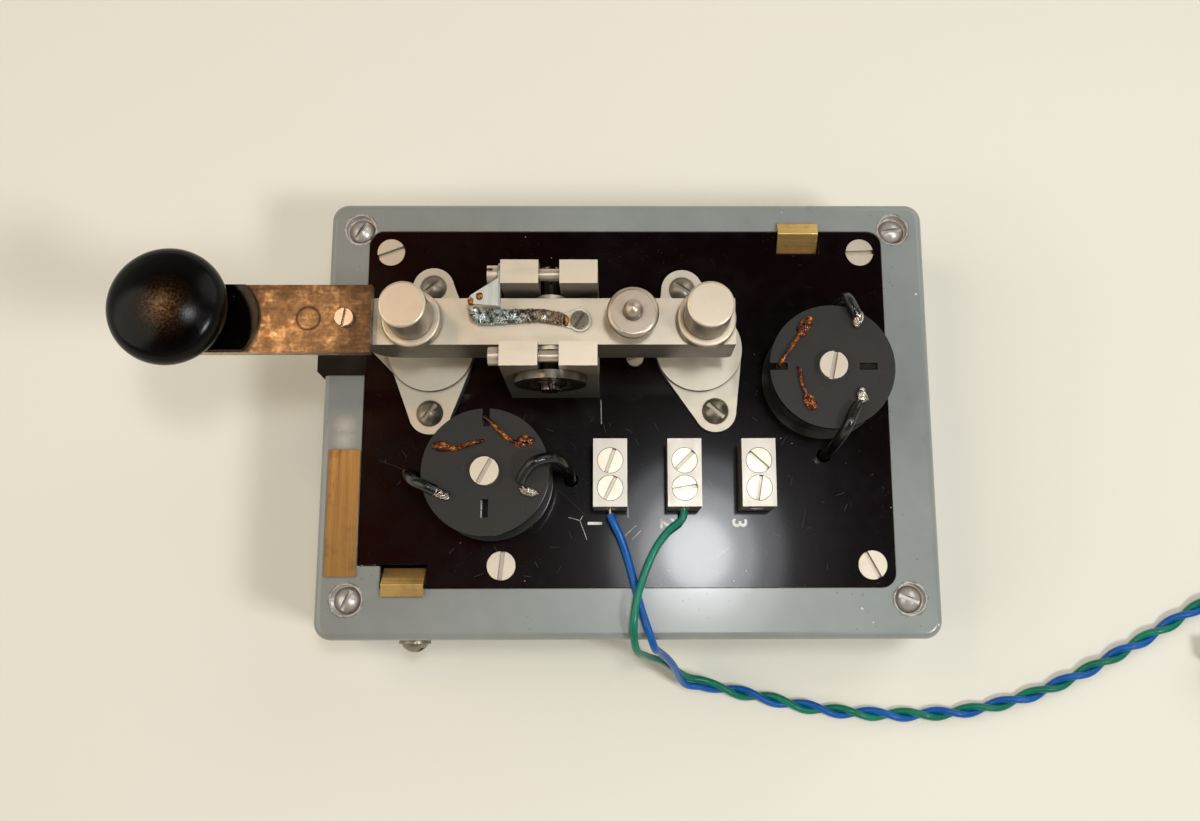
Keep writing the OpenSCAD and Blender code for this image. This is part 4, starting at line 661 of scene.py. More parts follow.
knob_ebonite = black_plastic("knob_ebonite", (0.0008, 0.0004, 0.0003), 0.16, 2200.0, 0.3,
                             tint=(0.004, 0.0015, 0.0006), specular=0.15, glint_centre=(-0.1165, 0.0172, 0.098))
choke_moulding = black_plastic("choke_moulding", (0.0125, 0.011, 0.0085), 0.5, 1800.0, 0.2,
                               tint=(0.03, 0.022, 0.015), specular=0.35, shaded_polished_sides=True)
winding_wax = black_plastic("winding_wax", (0.004, 0.0035, 0.004), 0.12, 300.0, 0.3, coat=0.5)
sleeving = black_plastic("sleeving", (0.002, 0.0015, 0.0015), 0.2, 2600.0, 0.8, coat=0.3,
                         tint=(0.006, 0.005, 0.004))
tie_tape = black_plastic("tie_tape", (0.02, 0.019, 0.018), 0.7, 2200.0, 0.6)

# %% [markdown]
# ## Insulation, solder and varnish
# The pair is insulated in blue and green plastic with a soft gloss. Solder is bright
# and lumpy, varnish is amber and shiny, and tinned wire is dull. These small pieces
# need no more than one mottle, whose tone picks the colour from a few stops.

# %% Soft finishes
def insulation(name, colour, deep):
    material, tree, shader = new_material(name, colour, 0.32, coat=0.1, specular=0.3)
    tone = mottled(tree, 120.0, 1.2)
    drive(tree, shader, Base_Color=layers(tree, colour, (fade(tree, tone, 0.3, 0.75, 0.8, 0.0), deep)),
          Roughness=fade(tree, tone, 0.2, 0.8, 0.26, 0.42),
          Normal=bump(tree, cloud(tree, 900.0, 3.0), 0.1, 0.0001))
    return material


def toned(name, colour, roughness, mottling, *stops, rough=None, relief=None, **settings):
    """A finish of one mottle, given as scale and contrast; rough is a fade, relief a bump."""
    material, tree, shader = new_material(name, colour, roughness, **settings)
    tone = mottled(tree, *mottling)
    drive(tree, shader, Base_Color=ramp(tree, tone, *stops))
    if rough:
        drive(tree, shader, Roughness=fade(tree, tone, *rough))
    if relief:
        drive(tree, shader, Normal=bump(tree, tone, *relief))
    return material


blue_insulation = insulation("blue_insulation", (0.002, 0.125, 0.46), (0.001, 0.065, 0.27))
green_insulation = insulation("green_insulation", (0.001, 0.225, 0.13), (0.0005, 0.11, 0.065))
link_insulation = insulation("link_insulation", (0.4, 0.05, 0.03), (0.2, 0.02, 0.015))
floor_paint = toned("floor_paint", (0.2, 0.21, 0.2), 0.5, (30.0, 1.0), (0.3, (0.15, 0.16, 0.152)),
                    (0.7, (0.24, 0.25, 0.24)), relief=(0.2, 0.0002))
solder = toned("solder", (0.72, 0.71, 0.68), 0.22, (500.0, 2.0), (0.3, (0.3, 0.24, 0.17)),
               (0.55, (0.6, 0.56, 0.5)), (0.75, (0.85, 0.84, 0.82)), rough=(0.2, 0.8, 0.14, 0.36),
               relief=(0.5, 0.0003), metallic=1.0)
amber_varnish = toned("amber_varnish", (0.14, 0.03, 0.004), 0.1, (400.0, 2.0), (0.42, (0.03, 0.004, 0.0005)),
                      (0.6, (0.2, 0.045, 0.003)), (0.75, (0.75, 0.27, 0.02)), relief=(0.4, 0.0003),
                      coat=0.15, specular=0.3)
copper_wire = toned("copper_wire", (0.7, 0.36, 0.2), 0.25, (500.0, 1.5), (0.3, (0.2, 0.16, 0.1)),
                    (0.7, (0.5, 0.44, 0.34)), metallic=1.0)
wrap_thread = toned("wrap_thread", (0.2, 0.13, 0.06), 0.55, (600.0, 2.2), (0.3, (0.07, 0.035, 0.015)),
                    (0.6, (0.26, 0.17, 0.08)), (0.8, (0.6, 0.5, 0.36)))
mark_filling = toned("mark_filling", (0.78, 0.76, 0.7), 0.6, (900.0, 2.0), (0.3, (0.72, 0.7, 0.64)),
                     (0.5, (0.95, 0.93, 0.88)))

braid_metal, tree, shader = new_material("braid_metal", (0.4, 0.42, 0.4), 0.3, metallic=0.85)
tone = mottled(tree, 700.0, 2.4)
tinned = ramp(tree, tone, (0.34, (0.05, 0.05, 0.04)), (0.48, (0.4, 0.46, 0.43)), (0.64, (0.84, 0.89, 0.85)))
browned = ramp(tree, tone, (0.35, (0.05, 0.025, 0.01)), (0.65, (0.5, 0.34, 0.19)))
at_right = fade(tree, axes(tree)["X"], -0.031, -0.0265, 0.0, 0.75)
drive(tree, shader, Base_Color=layers(tree, tinned, (at_right, browned)),
      Roughness=fade(tree, tone, 0.2, 0.8, 0.3, 0.55))
print("made", len(bpy.data.materials), "materials")

# %% [markdown]
# ## The pair of leads
# Two plastic leads leave the first two terminals, drop over the rim and are twisted
# together: a blue one and a green one, about ten millimetres from one crossing to
# the next. The pair is two tubes that wind round a shared path. It runs out of the
# picture to the right, where the rest lies in a neat coil held by a tape tie.

# %% The routes, as the CAD has them
LEAD_R = 0.0011
PAIR_LIE = 2.2
TERMINAL_X = [-5.2, 15.6, 36.4]
BORE_FRONT_Y = -28.25
BORE_Z = 49.9
pair_start = mm(22.5, -78, 6)
pair_heading = Vector((19, -4.5, -2)).normalized()
pair_side = Vector((0, 0, 1)).cross(pair_heading).normalized()


def route(*points, top=0.0):
    """Points given in millimetres, their heights counted from top."""
    return [mm(x, y, top + z) for x, y, z in points]


def on_circle(x, y, radius, degrees):
    turn = math.radians(degrees)
    return x + radius * math.cos(turn), y + radius * math.sin(turn)


def tail_end(side):
    """The last two points of a tail, which comes down into its side of the pair."""
    return [pair_start - 0.005 * pair_heading + mm(0, 0, 2) + side * pair_side,
            pair_start + side * pair_side]


blue_points = route(
    (TERMINAL_X[0], BORE_FRONT_Y - 1.4, BORE_Z), (TERMINAL_X[0] + 1, BORE_FRONT_Y - 4, BORE_Z - 0.4),
    (-2.2, -36.4, 48.2), (0, -43, 46.6), (3.2, -55, 46), (5.3, -61.4, 46.7), (7.4, -67, 43),
    (8.9, -68, 35), (13, -71.6, 24)) + tail_end(-LEAD_R)
green_points = route(
    (TERMINAL_X[1], BORE_FRONT_Y - 0.4, BORE_Z), (TERMINAL_X[1] - 0.6, BORE_FRONT_Y - 3, BORE_Z),
    (11, -34.6, 49), (7.2, -40, 48.4), (4.2, -47, 48), (2.2, -53.8, 48.4), (1.3, -61, 47.8),
    (2.2, -67.4, 42.4), (5.4, -69.4, 30), (11, -71.4, 19)) + tail_end(LEAD_R)

COIL_MID, COIL_START, COIL_PITCH, COIL_MIDDLE_R, LAYER_TURNS = (216.0, -70.0), 120.0, 5.6, 23.4, 2
COIL_OUTER, COIL_INNER, COIL_LIE = COIL_MIDDLE_R + COIL_PITCH, COIL_MIDDLE_R - COIL_PITCH, PAIR_LIE + 0.7
STEPS = 24


def coil_point(radius, turns, z):
    return mm(*on_circle(*COIL_MID, radius, COIL_START - 360 * turns), z)


def coil_heading(turns):
    turn = math.radians(COIL_START - 360 * turns)
    return Vector((math.sin(turn), -math.cos(turn), 0))


steps_in_layer = STEPS * LAYER_TURNS
coil = [coil_point(COIL_OUTER - COIL_PITCH * i / STEPS, i / STEPS, COIL_LIE) for i in range(steps_in_layer)]
coil += [coil_point(COIL_INNER, LAYER_TURNS + i / STEPS, COIL_LIE + 2 * COIL_PITCH * i / STEPS)
         for i in range(STEPS // 2 + 1)]
coil += [coil_point(COIL_INNER + COIL_PITCH * i / STEPS, LAYER_TURNS + 0.5 + i / STEPS, COIL_LIE + COIL_PITCH)
         for i in range(1, steps_in_layer + 1)]
coil_in, coil_out = coil_heading(0), coil_heading(0.5 + 2 * LAYER_TURNS)
coil = [coil[0] - 0.0044 * coil_in] + coil + [coil[-1] + 0.0044 * coil_out, coil[-1] + 0.0144 * coil_out]
table_points = [pair_start, mm(31, -80.2, 3.4)] + route(
    (41.5, -82.4, 0), (52, -84.8, 0), (63, -86.6, 0), (74, -87.6, 0), (85, -88, 0), (95, -87.8, 0),
    (104, -87.2, 0), (117, -84.8, 0), (129.5, -81.2, 0), (141, -76.5, 0), (152.5, -71, 0),
    (167, -63.4, 0), (182.5, -54.8, 0.2), top=PAIR_LIE) + [coil[0] - 0.005 * coil_in, coil[0]]
pair_path = smooth(table_points, 8)[:-1] + smooth(coil, 2)
print("pair:", round(length_of(pair_path), 3), "m")

# %% Wind the two strands
LAY, TWIST_START = 0.0205, 0.004


def strand(points, first, phase):
    """The path of one strand of the pair; its twist starts gently."""
    out, gone = [], 0.0
    for i, (heading, side, up) in enumerate(carried_frames(points, first)):
        gone += (points[i] - points[i - 1]).length if i else 0.0
        wound = max(gone - TWIST_START * (1 - math.exp(-gone / TWIST_START)), 0)
        turn = phase + 2 * math.pi * wound / LAY
        out.append(points[i] + LEAD_R * (math.cos(turn) * side + math.sin(turn) * up))
    return out


def evenly(points, step):
    """The same line with points about step apart."""
    total, out, gone, i = length_of(points), [points[0].copy()], 0.0, 0
    count = max(2, round(total / step))
    for k in range(1, count):
        target = total * k / count
        while gone + (points[i + 1] - points[i]).length < target:
            gone += (points[i + 1] - points[i]).length
            i += 1
        gap = points[i + 1] - points[i]
        out.append(points[i] + gap * ((target - gone) / gap.length))
    return out + [points[-1].copy()]


fine_path = evenly(pair_path, 0.0014)
strands = [strand(fine_path, pair_side, math.pi), strand(fine_path, pair_side, 0.0)]
verts, faces = [], []
add_tube(verts, faces, strands[0], LEAD_R)
blue_faces = len(faces)
add_tube(verts, faces, strands[1], LEAD_R)
twisted_pair = new_piece("twisted_pair", verts, faces, blue_insulation)
twisted_pair.data.materials.append(green_insulation)
twisted_pair.data.polygons.foreach_set("material_index", [int(i >= blue_faces) for i in range(len(faces))])
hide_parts("twisted_lead", "lead_coil", "lead_ends")
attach(twisted_pair, "base")

BARE_R = 0.0006
bare_far = wire_piece("bare_far_ends", [[s[-1] - 0.001 * coil_out, s[-1], s[-1] + 0.0075 * coil_out]
                                        for s in strands], BARE_R, copper_wire)
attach(bare_far, "base")
blue_path, green_path = smooth(blue_points, 8), smooth(green_points, 8)
blue_tail = wire_piece("blue_tail", [blue_path], LEAD_R, blue_insulation, 12)
green_tail = wire_piece("green_tail", [green_path], LEAD_R, green_insulation, 12)
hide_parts("blue_lead")
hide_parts("green_lead")
for tail, slot_name in ((blue_tail, "blue_insulation"), (green_tail, "green_insulation")):
    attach(tail, "base")
bare_near = wire_piece("bare_near_ends", [
    [blue_points[0] + mm(*shift) for shift in ((0.05, -0.3, 0.0), (-0.15, 1.6, 0.15), (0.1, 7.6, 0))],
    [green_points[0] + mm(*shift) for shift in ((0, -0.3, 0), (0.1, 1.2, 0.1), (0, 7.6, 0))]],
    BARE_R, copper_wire)
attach(bare_near, "base")

print("tails:", round(length_of(blue_path), 3), round(length_of(green_path), 3))

# %% [markdown]
# ## Finishes on the CAD parts
# A part whose shape is right keeps its solid and only gets a material. One table says
# which nodes have each finish.

# %% Give each node its finish
FINISHES = {
    case_enamel: "case",
    floor_paint: "floor_plate",
    deck_laminate: "deck_plate",
    lever_nickel: "lever fulcrum_bracket",
    plate_nickel: "front_contact_plate back_contact_plate front_contact_disc back_contact_disc",
    adjuster_nickel: "front_contact_screw back_contact_screw front_locknut back_locknut clamp_screws",
    pivot_steel: "front_pivot_screw rear_pivot_screw",
    silver_point: "front_contact_tip back_contact_tip",
    terminal_plate: "terminal_1 terminal_2 terminal_3",
    tension_plate: "tension_nut spring_rod",
    disc_nut_plate: "pivot_disc_nut",
    case_screw_metal: "case_screws",
    deck_screw_metal: "deck_screws choke_screws spring_anchor",
    lever_screw_metal: "lever_screws",
    plate_screw_metal: "plate_screws earth_screw bracket_screws knob_screw",
    terminal_screw_metal: "terminal_screws",
    arm_bronze: "knob_arm arm_rivet",
    label_brass: "label_strip",
    clip_brass: "front_cover_clip rear_cover_clip clip_rivets",
    nut_brass: "deck_nuts",
    tag_metal: "pigtail_ring",
    lug_metal: "pigtail_lug",
    knob_ebonite: "knob knob_foot",
    choke_moulding: "left_choke_bobbin right_choke_bobbin",
    winding_wax: "left_choke_winding right_choke_winding",
    link_insulation: "link_wires",
    tie_tape: "coil_tie",
}
for material, nodes in FINISHES.items():
    for name in nodes.split():
        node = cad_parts[name]
        if not node.material_slots:
            node.data.materials.append(material)
        for slot in node.material_slots:
            slot.material = material
print("finished", sum(len(nodes.split()) for nodes in FINISHES.values()), "nodes")

# %% [markdown]
# ## The woven pigtail
# The current reaches the lever through a short tinned braid, because a pivot is a poor
# contact. It is soldered to a lug on the bracket and to a tag under a small screw.
# The braid is two sets of strands that wind opposite ways round the same path, rising
# and falling as they cross.

# %% Weave the braid
BRAID_STEP = 0.00035
braid_points = route(
    (-41.2, 20.4, 4.2), (-40, 19.8, 3), (-36, 19.7, 2), (-30, 20, 1.7), (-24, 20.2, 1.7),
    (-19.8, 19.6, 1.9), (-17.6, 19.2, 1.7), top=LEVER_TOP)
braid_path = evenly(smooth(braid_points, 8), BRAID_STEP)


def woven(path, radius_at, strands_each_way, turns, thickness):
    verts, faces = [], []
    frames = carried_frames(path, (0, 1, 0))
    for way in (-1, 1):
        for k in range(strands_each_way):
            line = []
            for i, (heading, side, up) in enumerate(frames):
                s = i / (len(path) - 1)
                wound = 2 * math.pi * turns * s
                turn = way * wound + 2 * math.pi * k / strands_each_way
                lift = thickness * 0.6 * way * math.sin(wound * strands_each_way + math.pi * k)
                r = radius_at(s) + lift
                line.append(path[i] + r * (math.cos(turn) * side + 0.75 * math.sin(turn) * up))
            add_tube(verts, faces, line, thickness / 2, 5)
    return verts, faces


def braid_radius(s):
    """Thick at the lug, apart from its very end, and thinner towards the tag."""
    return (0.0021 - 0.0008 * s) * min(1, 0.6 + s * 5)


braid_verts, braid_faces = woven(braid_path, braid_radius, 7, 4.5, 0.00042)
add_tube(braid_verts, braid_faces, braid_path, 0.0008, 8)
braid = new_piece("woven_braid", braid_verts, braid_faces, braid_metal)
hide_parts("pigtail_braid")
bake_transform(braid)
print("braid:", len(braid_faces), "faces")

# %% [markdown]
# ## The tension spring
# Below the lever a close-wound spring pulls the tail down. The CAD gives its path with
# six-sided wire; here the same path gets round wire, which costs little and reads
# better in the gap under the lever. It is cut half way up, into a lower and an upper half.

# %% Wind the spring
SPRING_X, ROD_FOOT, ANCHOR_X, ANCHOR_Y = 0.8, 56.0, 2.0, 16.1
HOOK_R, SPRING_R, WIRE_R = 1.75, 2.5, 0.0004
coil_low, coil_high = DECK_TOP + 5.0, ROD_FOOT - 0.9
spring_points = [mm(*on_circle(ANCHOR_X, ANCHOR_Y, HOOK_R, a), DECK_TOP + 1.3) for a in range(200, 401, 40)]
spring_points += route((ANCHOR_X + 3.4, ANCHOR_Y + 1.4, DECK_TOP + 1.9),
                       (ANCHOR_X + 3.6, ANCHOR_Y + 2.4, coil_low - 1))
for i in range(41):
    s = i / 40
    place = on_circle(SPRING_X + 0.6 * (1 - s), LEVER_Y - 1.2 * (1 - s), SPRING_R, 20 + 45 * i)
    spring_points.append(mm(*place, coil_low + (coil_high - coil_low) * s))
spring_points += route((SPRING_X + 2.8, LEVER_Y + 0.4, coil_high + 1.4),
                       *((SPRING_X + x, LEVER_Y, ROD_FOOT + 1.6) for x in (2.1, 0, -2.3)))
spring_line = smooth(spring_points, 4)
middle = mm(SPRING_X, LEVER_Y, (coil_low + coil_high) / 2)
cut_at = next(i for i, p in enumerate(spring_line) if p.z > middle.z)
lower_coil = wire_piece("tension_coil_lower", [spring_line[:cut_at + 1]], WIRE_R, spring_steel)
upper_coil = wire_piece("tension_coil_upper", [spring_line[cut_at:]], WIRE_R, spring_steel)
for piece in (lower_coil, upper_coil):
    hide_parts("tension_spring")
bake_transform(lower_coil)
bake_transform(upper_coil)
print("spring cut", round(middle.z * 1000, 1), "mm up, where both halves follow the lever")

# %% [markdown]
# ## The choke leads
# Two leads in black sleeving rise from solder joints on each choke, arch over the
# flange and go through a hole in the deck. The routes are the CAD's; the visible
# sleeves are thicker and rounder and have a fine grain.

# %% Sleeves
SLEEVE_R, HOLE_TOP, UNDER_DECK = 1.5, 49.5, 37.7
OVER = CHOKE_TOP + SLEEVE_R + 0.25


def smooth_wires(name, routes, *settings):
    return wire_piece(name, [smooth(points, 6) for points in routes], *settings)


def into_hole(x, y):
    """The last two points of a sleeve, in its hole and under the deck."""
    return route((x, y, HOLE_TOP), (x, y, UNDER_DECK))


sleeves = smooth_wires("choke_lead_sleeves", [
    route((-52.4, -24.6, OVER), (-55.4, -23.4, OVER + 0.6), (-58.8, -21.8, OVER - 1.4),
          (-61.5, -19.2, CHOKE_TOP - 7)) + into_hole(-62.1, -18.4),
    route((-29.4, -22.0, OVER + 0.2), (-28, -19.9, OVER + 2), (-25.4, -17.4, OVER + 4),
          (-20.6, -16.2, OVER + 1.6), (-17.4, -17.8, CHOKE_TOP - 4)) + into_hole(-16.5, -19.3),
    route((63.2, -1.2, OVER), (61.6, -3.6, OVER + 0.5), (59.7, -7.7, OVER - 0.3),
          (57.7, -11.1, CHOKE_TOP - 7)) + into_hole(56.9, -12.2),
    route((63.6, 24.2, OVER), (62.6, 26.4, OVER + 0.4), (61.6, 29.6, OVER - 1.8),
          (61.2, 31.2, CHOKE_TOP - 8)) + into_hole(61, 31.4)], SLEEVE_R / 1000, sleeving, 16)
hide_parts("choke_leads")
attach(sleeves, "base")
print("sleeves:", len(sleeves.data.polygons), "faces")

# %% [markdown]
# ## Solder and varnish on the chokes
# Each flange carries two soldered joints, with a short loop of bare wire, and two
# drops of amber varnish where the fine ends of the winding are fixed. A drop is a
# sphere that is flattened, pulled to one side and roughened by noise. A few of them
# on a line read as one long bead that set unevenly.

# %% Drops and joints
def add_drop(verts, faces, centre, size, seed, around=14, rings=8):
    start = len(verts)
    for i in range(rings + 1):
        lat = math.pi * i / rings - math.pi / 2
        for k in range(around):
            lon = 2 * math.pi * k / around
            way = Vector((math.cos(lat) * math.cos(lon), math.cos(lat) * math.sin(lon), math.sin(lat)))
            r = 1 + 0.22 * noise.noise(way * 1.7 + Vector((seed, 0, 0)))
            verts.append(centre + Vector((way.x * size[0], way.y * size[1], way.z * size[2])) * r)
    for i in range(rings):
        for k in range(around):
            a, b = start + i * around + k, start + i * around + (k + 1) % around
            faces.append((a, b, b + around, a + around))


def drop_piece(name, material, *drops):
    """One mesh of drops, each given as its centre, its size and a seed."""
    verts, faces = [], []
    for drop in drops:
        add_drop(verts, faces, *drop)
    return new_piece(name, verts, faces, material)


def beads(ends_of_each, size, first_seed, seed_step):
    """The drops of several beads, each bead given as its two ends."""
    drops = []
    for n, (start, end) in enumerate(ends_of_each):
        seed = first_seed + n * seed_step
        for i in range(5):
            swell = 0.75 + 0.35 * math.sin(math.pi * i / 4)
            shift = Vector((noise.noise(Vector((seed, i, 0))), noise.noise(Vector((0, seed, i))), 0)) * 0.0006
            drops.append((start.lerp(end, i / 4) + shift, size * swell, seed + i * 1.7, 12))
    return drops


def on_chokes(*routes):
    return [route(*points, top=CHOKE_TOP) for points in routes]


solder_drops = drop_piece("solder_drops", solder, *beads(on_chokes(
    ((-53.4, -24.3, 0.8), (-49.4, -26.4, 0.6)), ((-28.9, -24.5, 0.7), (-25.9, -25.2, 0.6)),
    ((64.2, 24.7, 0.9), (63.8, 21.6, 0.7)), ((64.5, 2.9, 0.8), (64.3, 0.1, 0.7))),
    mm(1.45, 1.3, 1.3), 0, 3.1))
varnish_drops = drop_piece("varnish_drops", amber_varnish, *beads(on_chokes(
    ((-52.9, -12.3, 0.4), (-49.9, -12.7, 0.3)), ((-30.3, -11.7, 0.3), (-27.3, -10.7, 0.4)),
    ((50.2, 23.4, 0.4), (48.2, 19.3, 0.3)), ((49.3, 0.9, 0.3), (50.7, -1.7, 0.4))),
    mm(1.65, 1.4, 0.95), 9, 2.7))
fine_ends = smooth_wires("winding_ends", on_chokes(
    ((-50.2, -12.9, 0.5), (-48.6, -13.2, 0.6), (-44.4, -12.2, 0.75), (-41.6, -11.3, 0.5),
     (-39.9, -10.9, -0.3)),
    ((-30.4, -11.8, 0.5), (-33.5, -10.1, 0.8), (-36.0, -7.8, 0.8), (-38.1, -5.5, 0.5), (-39.7, -4.1, -0.3)),
    ((48.2, 19.4, 0.4), (47.2, 17.9, 0.7), (44.6, 14.4, 0.8), (42.9, 11.8, 0.5), (42.0, 10.3, -0.3)),
    ((49.4, 0.9, 0.4), (48.4, 3.8, 0.7), (47.8, 6.4, 0.6), (47.6, 8.4, 0.3), (46.9, 9.6, -0.3))),
    0.0006, amber_varnish)
wire_loops = smooth_wires("solder_wire_loops", on_chokes(
    ((-51.9, -25.8, 1.0), (-50.6, -26.2, 2.1), (-49.4, -25.6, 1.6), (-48.6, -25.2, 0.2)),
    ((-28.8, -23.6, 1.4), (-27.4, -25.2, 2.0), (-26.0, -25.2, 1.5), (-24.8, -25.4, 0.2)),
    ((63.4, 21.4, 1.2), (64.8, 22.4, 2.1), (65.2, 24.0, 1.6), (65.4, 25.2, 0.2)),
    ((63.4, 0.9, 1.2), (64.4, 2.2, 1.9), (65.3, 1.4, 1.4), (66.0, 0.4, 0.2))), 0.0004, solder, 8)
for piece in (solder_drops, varnish_drops, fine_ends, wire_loops):
    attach(piece, "base")
print("solder and varnish:", len(solder_drops.data.polygons), len(varnish_drops.data.polygons), "faces")

# %% [markdown]
# ## Joints of the pigtail
# The braid's right end is bound with brown thread and soldered to a wide tag, whose
# round part goes under the screw. At the other end it is soldered to the lug on the
# bracket. Amber drops of flux lie beside both joints. These are the marks that show
# that a person made them.

# %% Thread, flux and ring joint
THREAD_TURNS, THREAD_LIE, RING_X, RING_Y, RING_R = 11, 0.00152, -13.3, 19.3, 3.0
wrap_path = [p for p in braid_path if -0.0244 < p.x < -0.0178]
wrap_frames = carried_frames(wrap_path, (0, 1, 0))
thread_line = []
for i, (heading, side, up) in enumerate(wrap_frames):
    for j in range(4):
        turn = 2 * math.pi * THREAD_TURNS * (i + j / 4) / len(wrap_frames)
        thread_line.append(wrap_path[i] + THREAD_LIE * (math.cos(turn) * side + 0.8 * math.sin(turn) * up)
                           + heading * (j / 4 * BRAID_STEP))
thread = wire_piece("binding_thread", [thread_line], 0.0003, wrap_thread, 6)
lug_joint = drop_piece("lug_joint", solder, (mm(-41.0, 20.9, LEVER_TOP + 4.3), mm(1.5, 1.3, 1.1), 3.3))
ring_joint = drop_piece("ring_joint", solder, (mm(-22.7, 19.7, LEVER_TOP + 2.9), mm(0.9, 1.5, 0.6), 7.7))
outline = [on_circle(RING_X, RING_Y, RING_R, a) for a in range(-120, 121, 12)]
outline += [(-17.8, 20.7), (-21.5, 20.4), (-21.5, 18.6), (-17.8, 17.6)]
verts = [mm(x, y, LEVER_TOP + z) for z in (0.05, 0.5) for x, y in outline]
count = len(outline)
faces = [tuple(range(count))[::-1], tuple(range(count, 2 * count))]
faces += [(i, (i + 1) % count, count + (i + 1) % count, count + i) for i in range(count)]
ring_tail = new_piece("ring_tail", verts, faces, tag_metal, smooth_shaded=False)
ring_stain = drop_piece("ring_stain", amber_varnish,
                        (mm(-17.0, 19.0, LEVER_TOP + 0.8), mm(0.8, 1.6, 0.7), 4.4))
flux = drop_piece("flux_drops", amber_varnish, (mm(-39.0, 23.7, DECK_TOP + 42.5), mm(1.3, 1.1, 0.6), 1.1),
                  (mm(-41.4, 22.7, DECK_TOP + 41.5), mm(1.0, 1.3, 0.8), 2.1))
for piece in (thread, ring_joint, ring_tail, ring_stain):
    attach(piece, "lever")
for piece in (lug_joint, flux):
    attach(piece, "base")
print("thread:", THREAD_TURNS, "turns")

# %% [markdown]
# ## Marks beside the terminals
# The deck has a white filled mark in front of each terminal. Plain numbers stand there.
# They are text turned to a mesh, a tenth of a millimetre thick. The strokes of the type
# are thin, so each number is six copies, a little apart all round, which makes it bold.
# Each copy is a few microns higher than the last, so that no two faces share a plane.

# %% Numbers
MARK_SIZE, MARK_HALF_T, BOLDER, RISE, COPIES = 0.0058, 0.00005, 0.00012, 0.000006, 6
shifts = [Vector((*on_circle(0, 0, BOLDER, 360 / COPIES * k), k * RISE)) for k in range(COPIES)]
quarter_turn = Matrix.Rotation(-math.pi / 2, 4, "Z")
for n, x in enumerate(TERMINAL_X):
    words = bpy.data.curves.new(f"mark_{n + 1}", "FONT")
    words.body, words.size, words.extrude, words.align_x = str(n + 1), MARK_SIZE, MARK_HALF_T, "CENTER"
    holder = bpy.data.objects.new(f"mark_curve_{n + 1}", words)
    bpy.context.scene.collection.objects.link(holder)
    thin = bpy.data.meshes.new_from_object(holder.evaluated_get(bpy.context.evaluated_depsgraph_get()))
    bpy.data.objects.remove(holder)
    beside = Matrix.Translation((x / 1000 - 0.0064, -0.0318, DECK_TOP / 1000 + 0.00008)) @ quarter_turn
    verts = [beside @ (v.co + shift) for shift in shifts for v in thin.vertices]
    faces = [tuple(i + k * len(thin.vertices) for i in face.vertices)
             for k in range(COPIES) for face in thin.polygons]
    mark = new_piece(f"terminal_mark_{n + 1}", verts, faces, mark_filling, smooth_shaded=False)
    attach(mark, "base")
print("marks:", len(TERMINAL_X))

# %% [markdown]
# ## Deep scratches and a painted reflection
# A slipped screwdriver has left a few deep scratches between the terminals. They are
# too few for noise, so each is drawn: a hair of pale, torn laminate along its route.
# One more pale line, upright on the deck behind the terminals at x -7.9 mm, is a painted
# reflection of the front pillar's bright edge.

# %% Scratches
SCRATCHES_AND_REFLECTION_LINE = [[(-17.1, -30.1), (-13.9, -31.0), (-11.9, -36.4)], [(-13.9, -31.0), (-13.1, -29.6)],
                  [(-0.1, -26.9), (-0.1, -30.2)], [(1.0, -36.5), (3.6, -33.9)], [(-1.0, -35.3), (2.2, -32.5)],
                  # the line at x = -7.9 mm is a painted reflection of the pillar's bright edge
                  [(-7.9, 4.2), (-7.8, -2.9)], [(24.0, -42.2), (28.6, -38.8)]]
scratch_and_reflection_routes = [[mm(x, y, DECK_TOP + 0.01) for x, y in drawn_line] for drawn_line in SCRATCHES_AND_REFLECTION_LINE]
scratches_and_reflection = wire_piece("scratches_and_reflection_line", scratch_and_reflection_routes, 0.00006, mark_filling, 6)
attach(scratches_and_reflection, "base")
print("scratches:", len(SCRATCHES_AND_REFLECTION_LINE))

# %% [markdown]
# ## Floor and light
# The key stands on a plain pale surface. Three lamps in one place, a small one inside
# two larger ones, make the bright patch in the polished deck and its soft edge, as the
# photographer's lamp did. A small warm lamp gives the knob its glint, and three more
# lamps at the left, right and back light the rest. The sky is as pale as the floor at
# the horizon and nearly black straight above, or its reflection would turn the black
# deck grey. Far away the floor glows in its own colour, so no dark horizon shows.

# %% Studio
def lamp(name, place, width, height, power, shape, colour=(1, 1, 1), aim=(0, 0, 0.04)):
    data = bpy.data.lights.new(name, "AREA")
    data.shape, data.size, data.size_y, data.energy, data.color = shape, width, height, power, colour
    light = bpy.data.objects.new(name, data)
    light.location = place
    light.rotation_euler = (Vector(aim) - Vector(place)).to_track_quat("-Z", "Y").to_euler()
    bpy.context.scene.collection.objects.link(light)


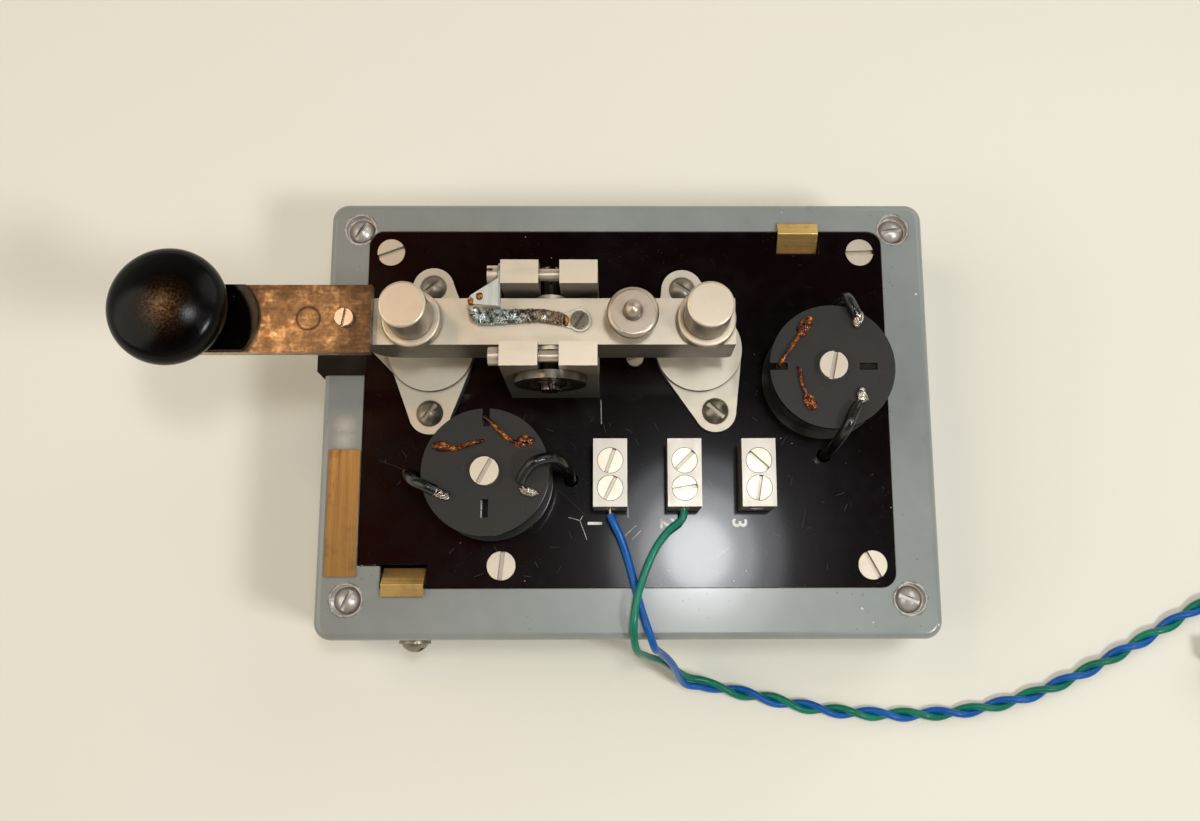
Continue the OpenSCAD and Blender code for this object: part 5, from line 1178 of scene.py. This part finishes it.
COOL, WARM, AMBER = (0.94, 0.97, 1.0), (1.0, 0.93, 0.83), (1.0, 0.7, 0.42)
SHEEN_LAMPS = (("sheen_core", 0.065, 0.42), ("sheen_middle", 0.115, 0.5), ("sheen_halo", 0.17, 0.34))
for name, size, power in SHEEN_LAMPS:
    lamp(name, (0.070, 0.004, 0.76), size, size * 0.9, power, "ELLIPSE", COOL)
lamp("warm_lamp", (-0.34, 0.2, 0.85), 0.1, 0.1, 0.5, "DISK", AMBER, (-0.1, 0.02, 0.08))
lamp("left_lamp", (-0.74, -0.05, 0.72), 1.0, 1.0, 3.9, "DISK", WARM)
lamp("right_lamp", (0.47, -0.26, 0.74), 0.15, 0.15, 3.0, "RECTANGLE", COOL)
lamp("back_lamp", (0.6, 0.6, 0.7), 0.8, 0.8, 2.1, "DISK")

FLOOR_COLOUR = (0.87, 0.83, 0.715)
FLOOR_HALF = 4
floor_material, tree, shader = new_material("pale_floor", FLOOR_COLOUR, 0.9, specular=0.1)
shader.inputs["Emission Color"].default_value = (*FLOOR_COLOUR, 1)
rays = tree.nodes.new("ShaderNodeLightPath").outputs
bounced = plus(tree, rays["Is Glossy Ray"], rays["Is Transmission Ray"])
seen = math_node(tree, "ADD", rays["Is Camera Ray"], bounced, clamp=True)
far_glow = times(tree, fade(tree, gap_to(tree, (0, 0, 0)), 0.48, 1.2), seen)
drive(tree, shader, Normal=bump(tree, cloud(tree, 60.0, 3.0), 0.02, 0.0005), Emission_Strength=far_glow,
      Base_Color=layers(tree, FLOOR_COLOUR, (far_glow, (0.0, 0.0, 0.0))))
corners = [(x * FLOOR_HALF, y * FLOOR_HALF, 0) for x, y in ((-1, -1), (1, -1), (1, 1), (-1, 1))]
floor = new_piece("studio_floor", corners, [(0, 1, 2, 3)], floor_material, smooth_shaded=False)
floor.location.z = -0.0002

world = bpy.data.worlds.new("studio_world")
world.use_nodes = True
bpy.context.scene.world = world
tree = world.node_tree
height = axes(tree, tree.nodes.new("ShaderNodeTexCoord").outputs["Generated"])["Z"]
sky = ramp(tree, height, (0.0, FLOOR_COLOUR), (0.08, FLOOR_COLOUR), (0.2, (0.38, 0.35, 0.3)),
           (0.5, (0.28, 0.27, 0.25)), (0.72, (0.14, 0.135, 0.13)), (0.88, (0.01, 0.01, 0.012)))
tree.links.new(sky, tree.nodes["Background"].inputs["Color"])
bpy.context.scene.view_settings.view_transform = "Standard"
print("lamps:", len(bpy.data.lights))
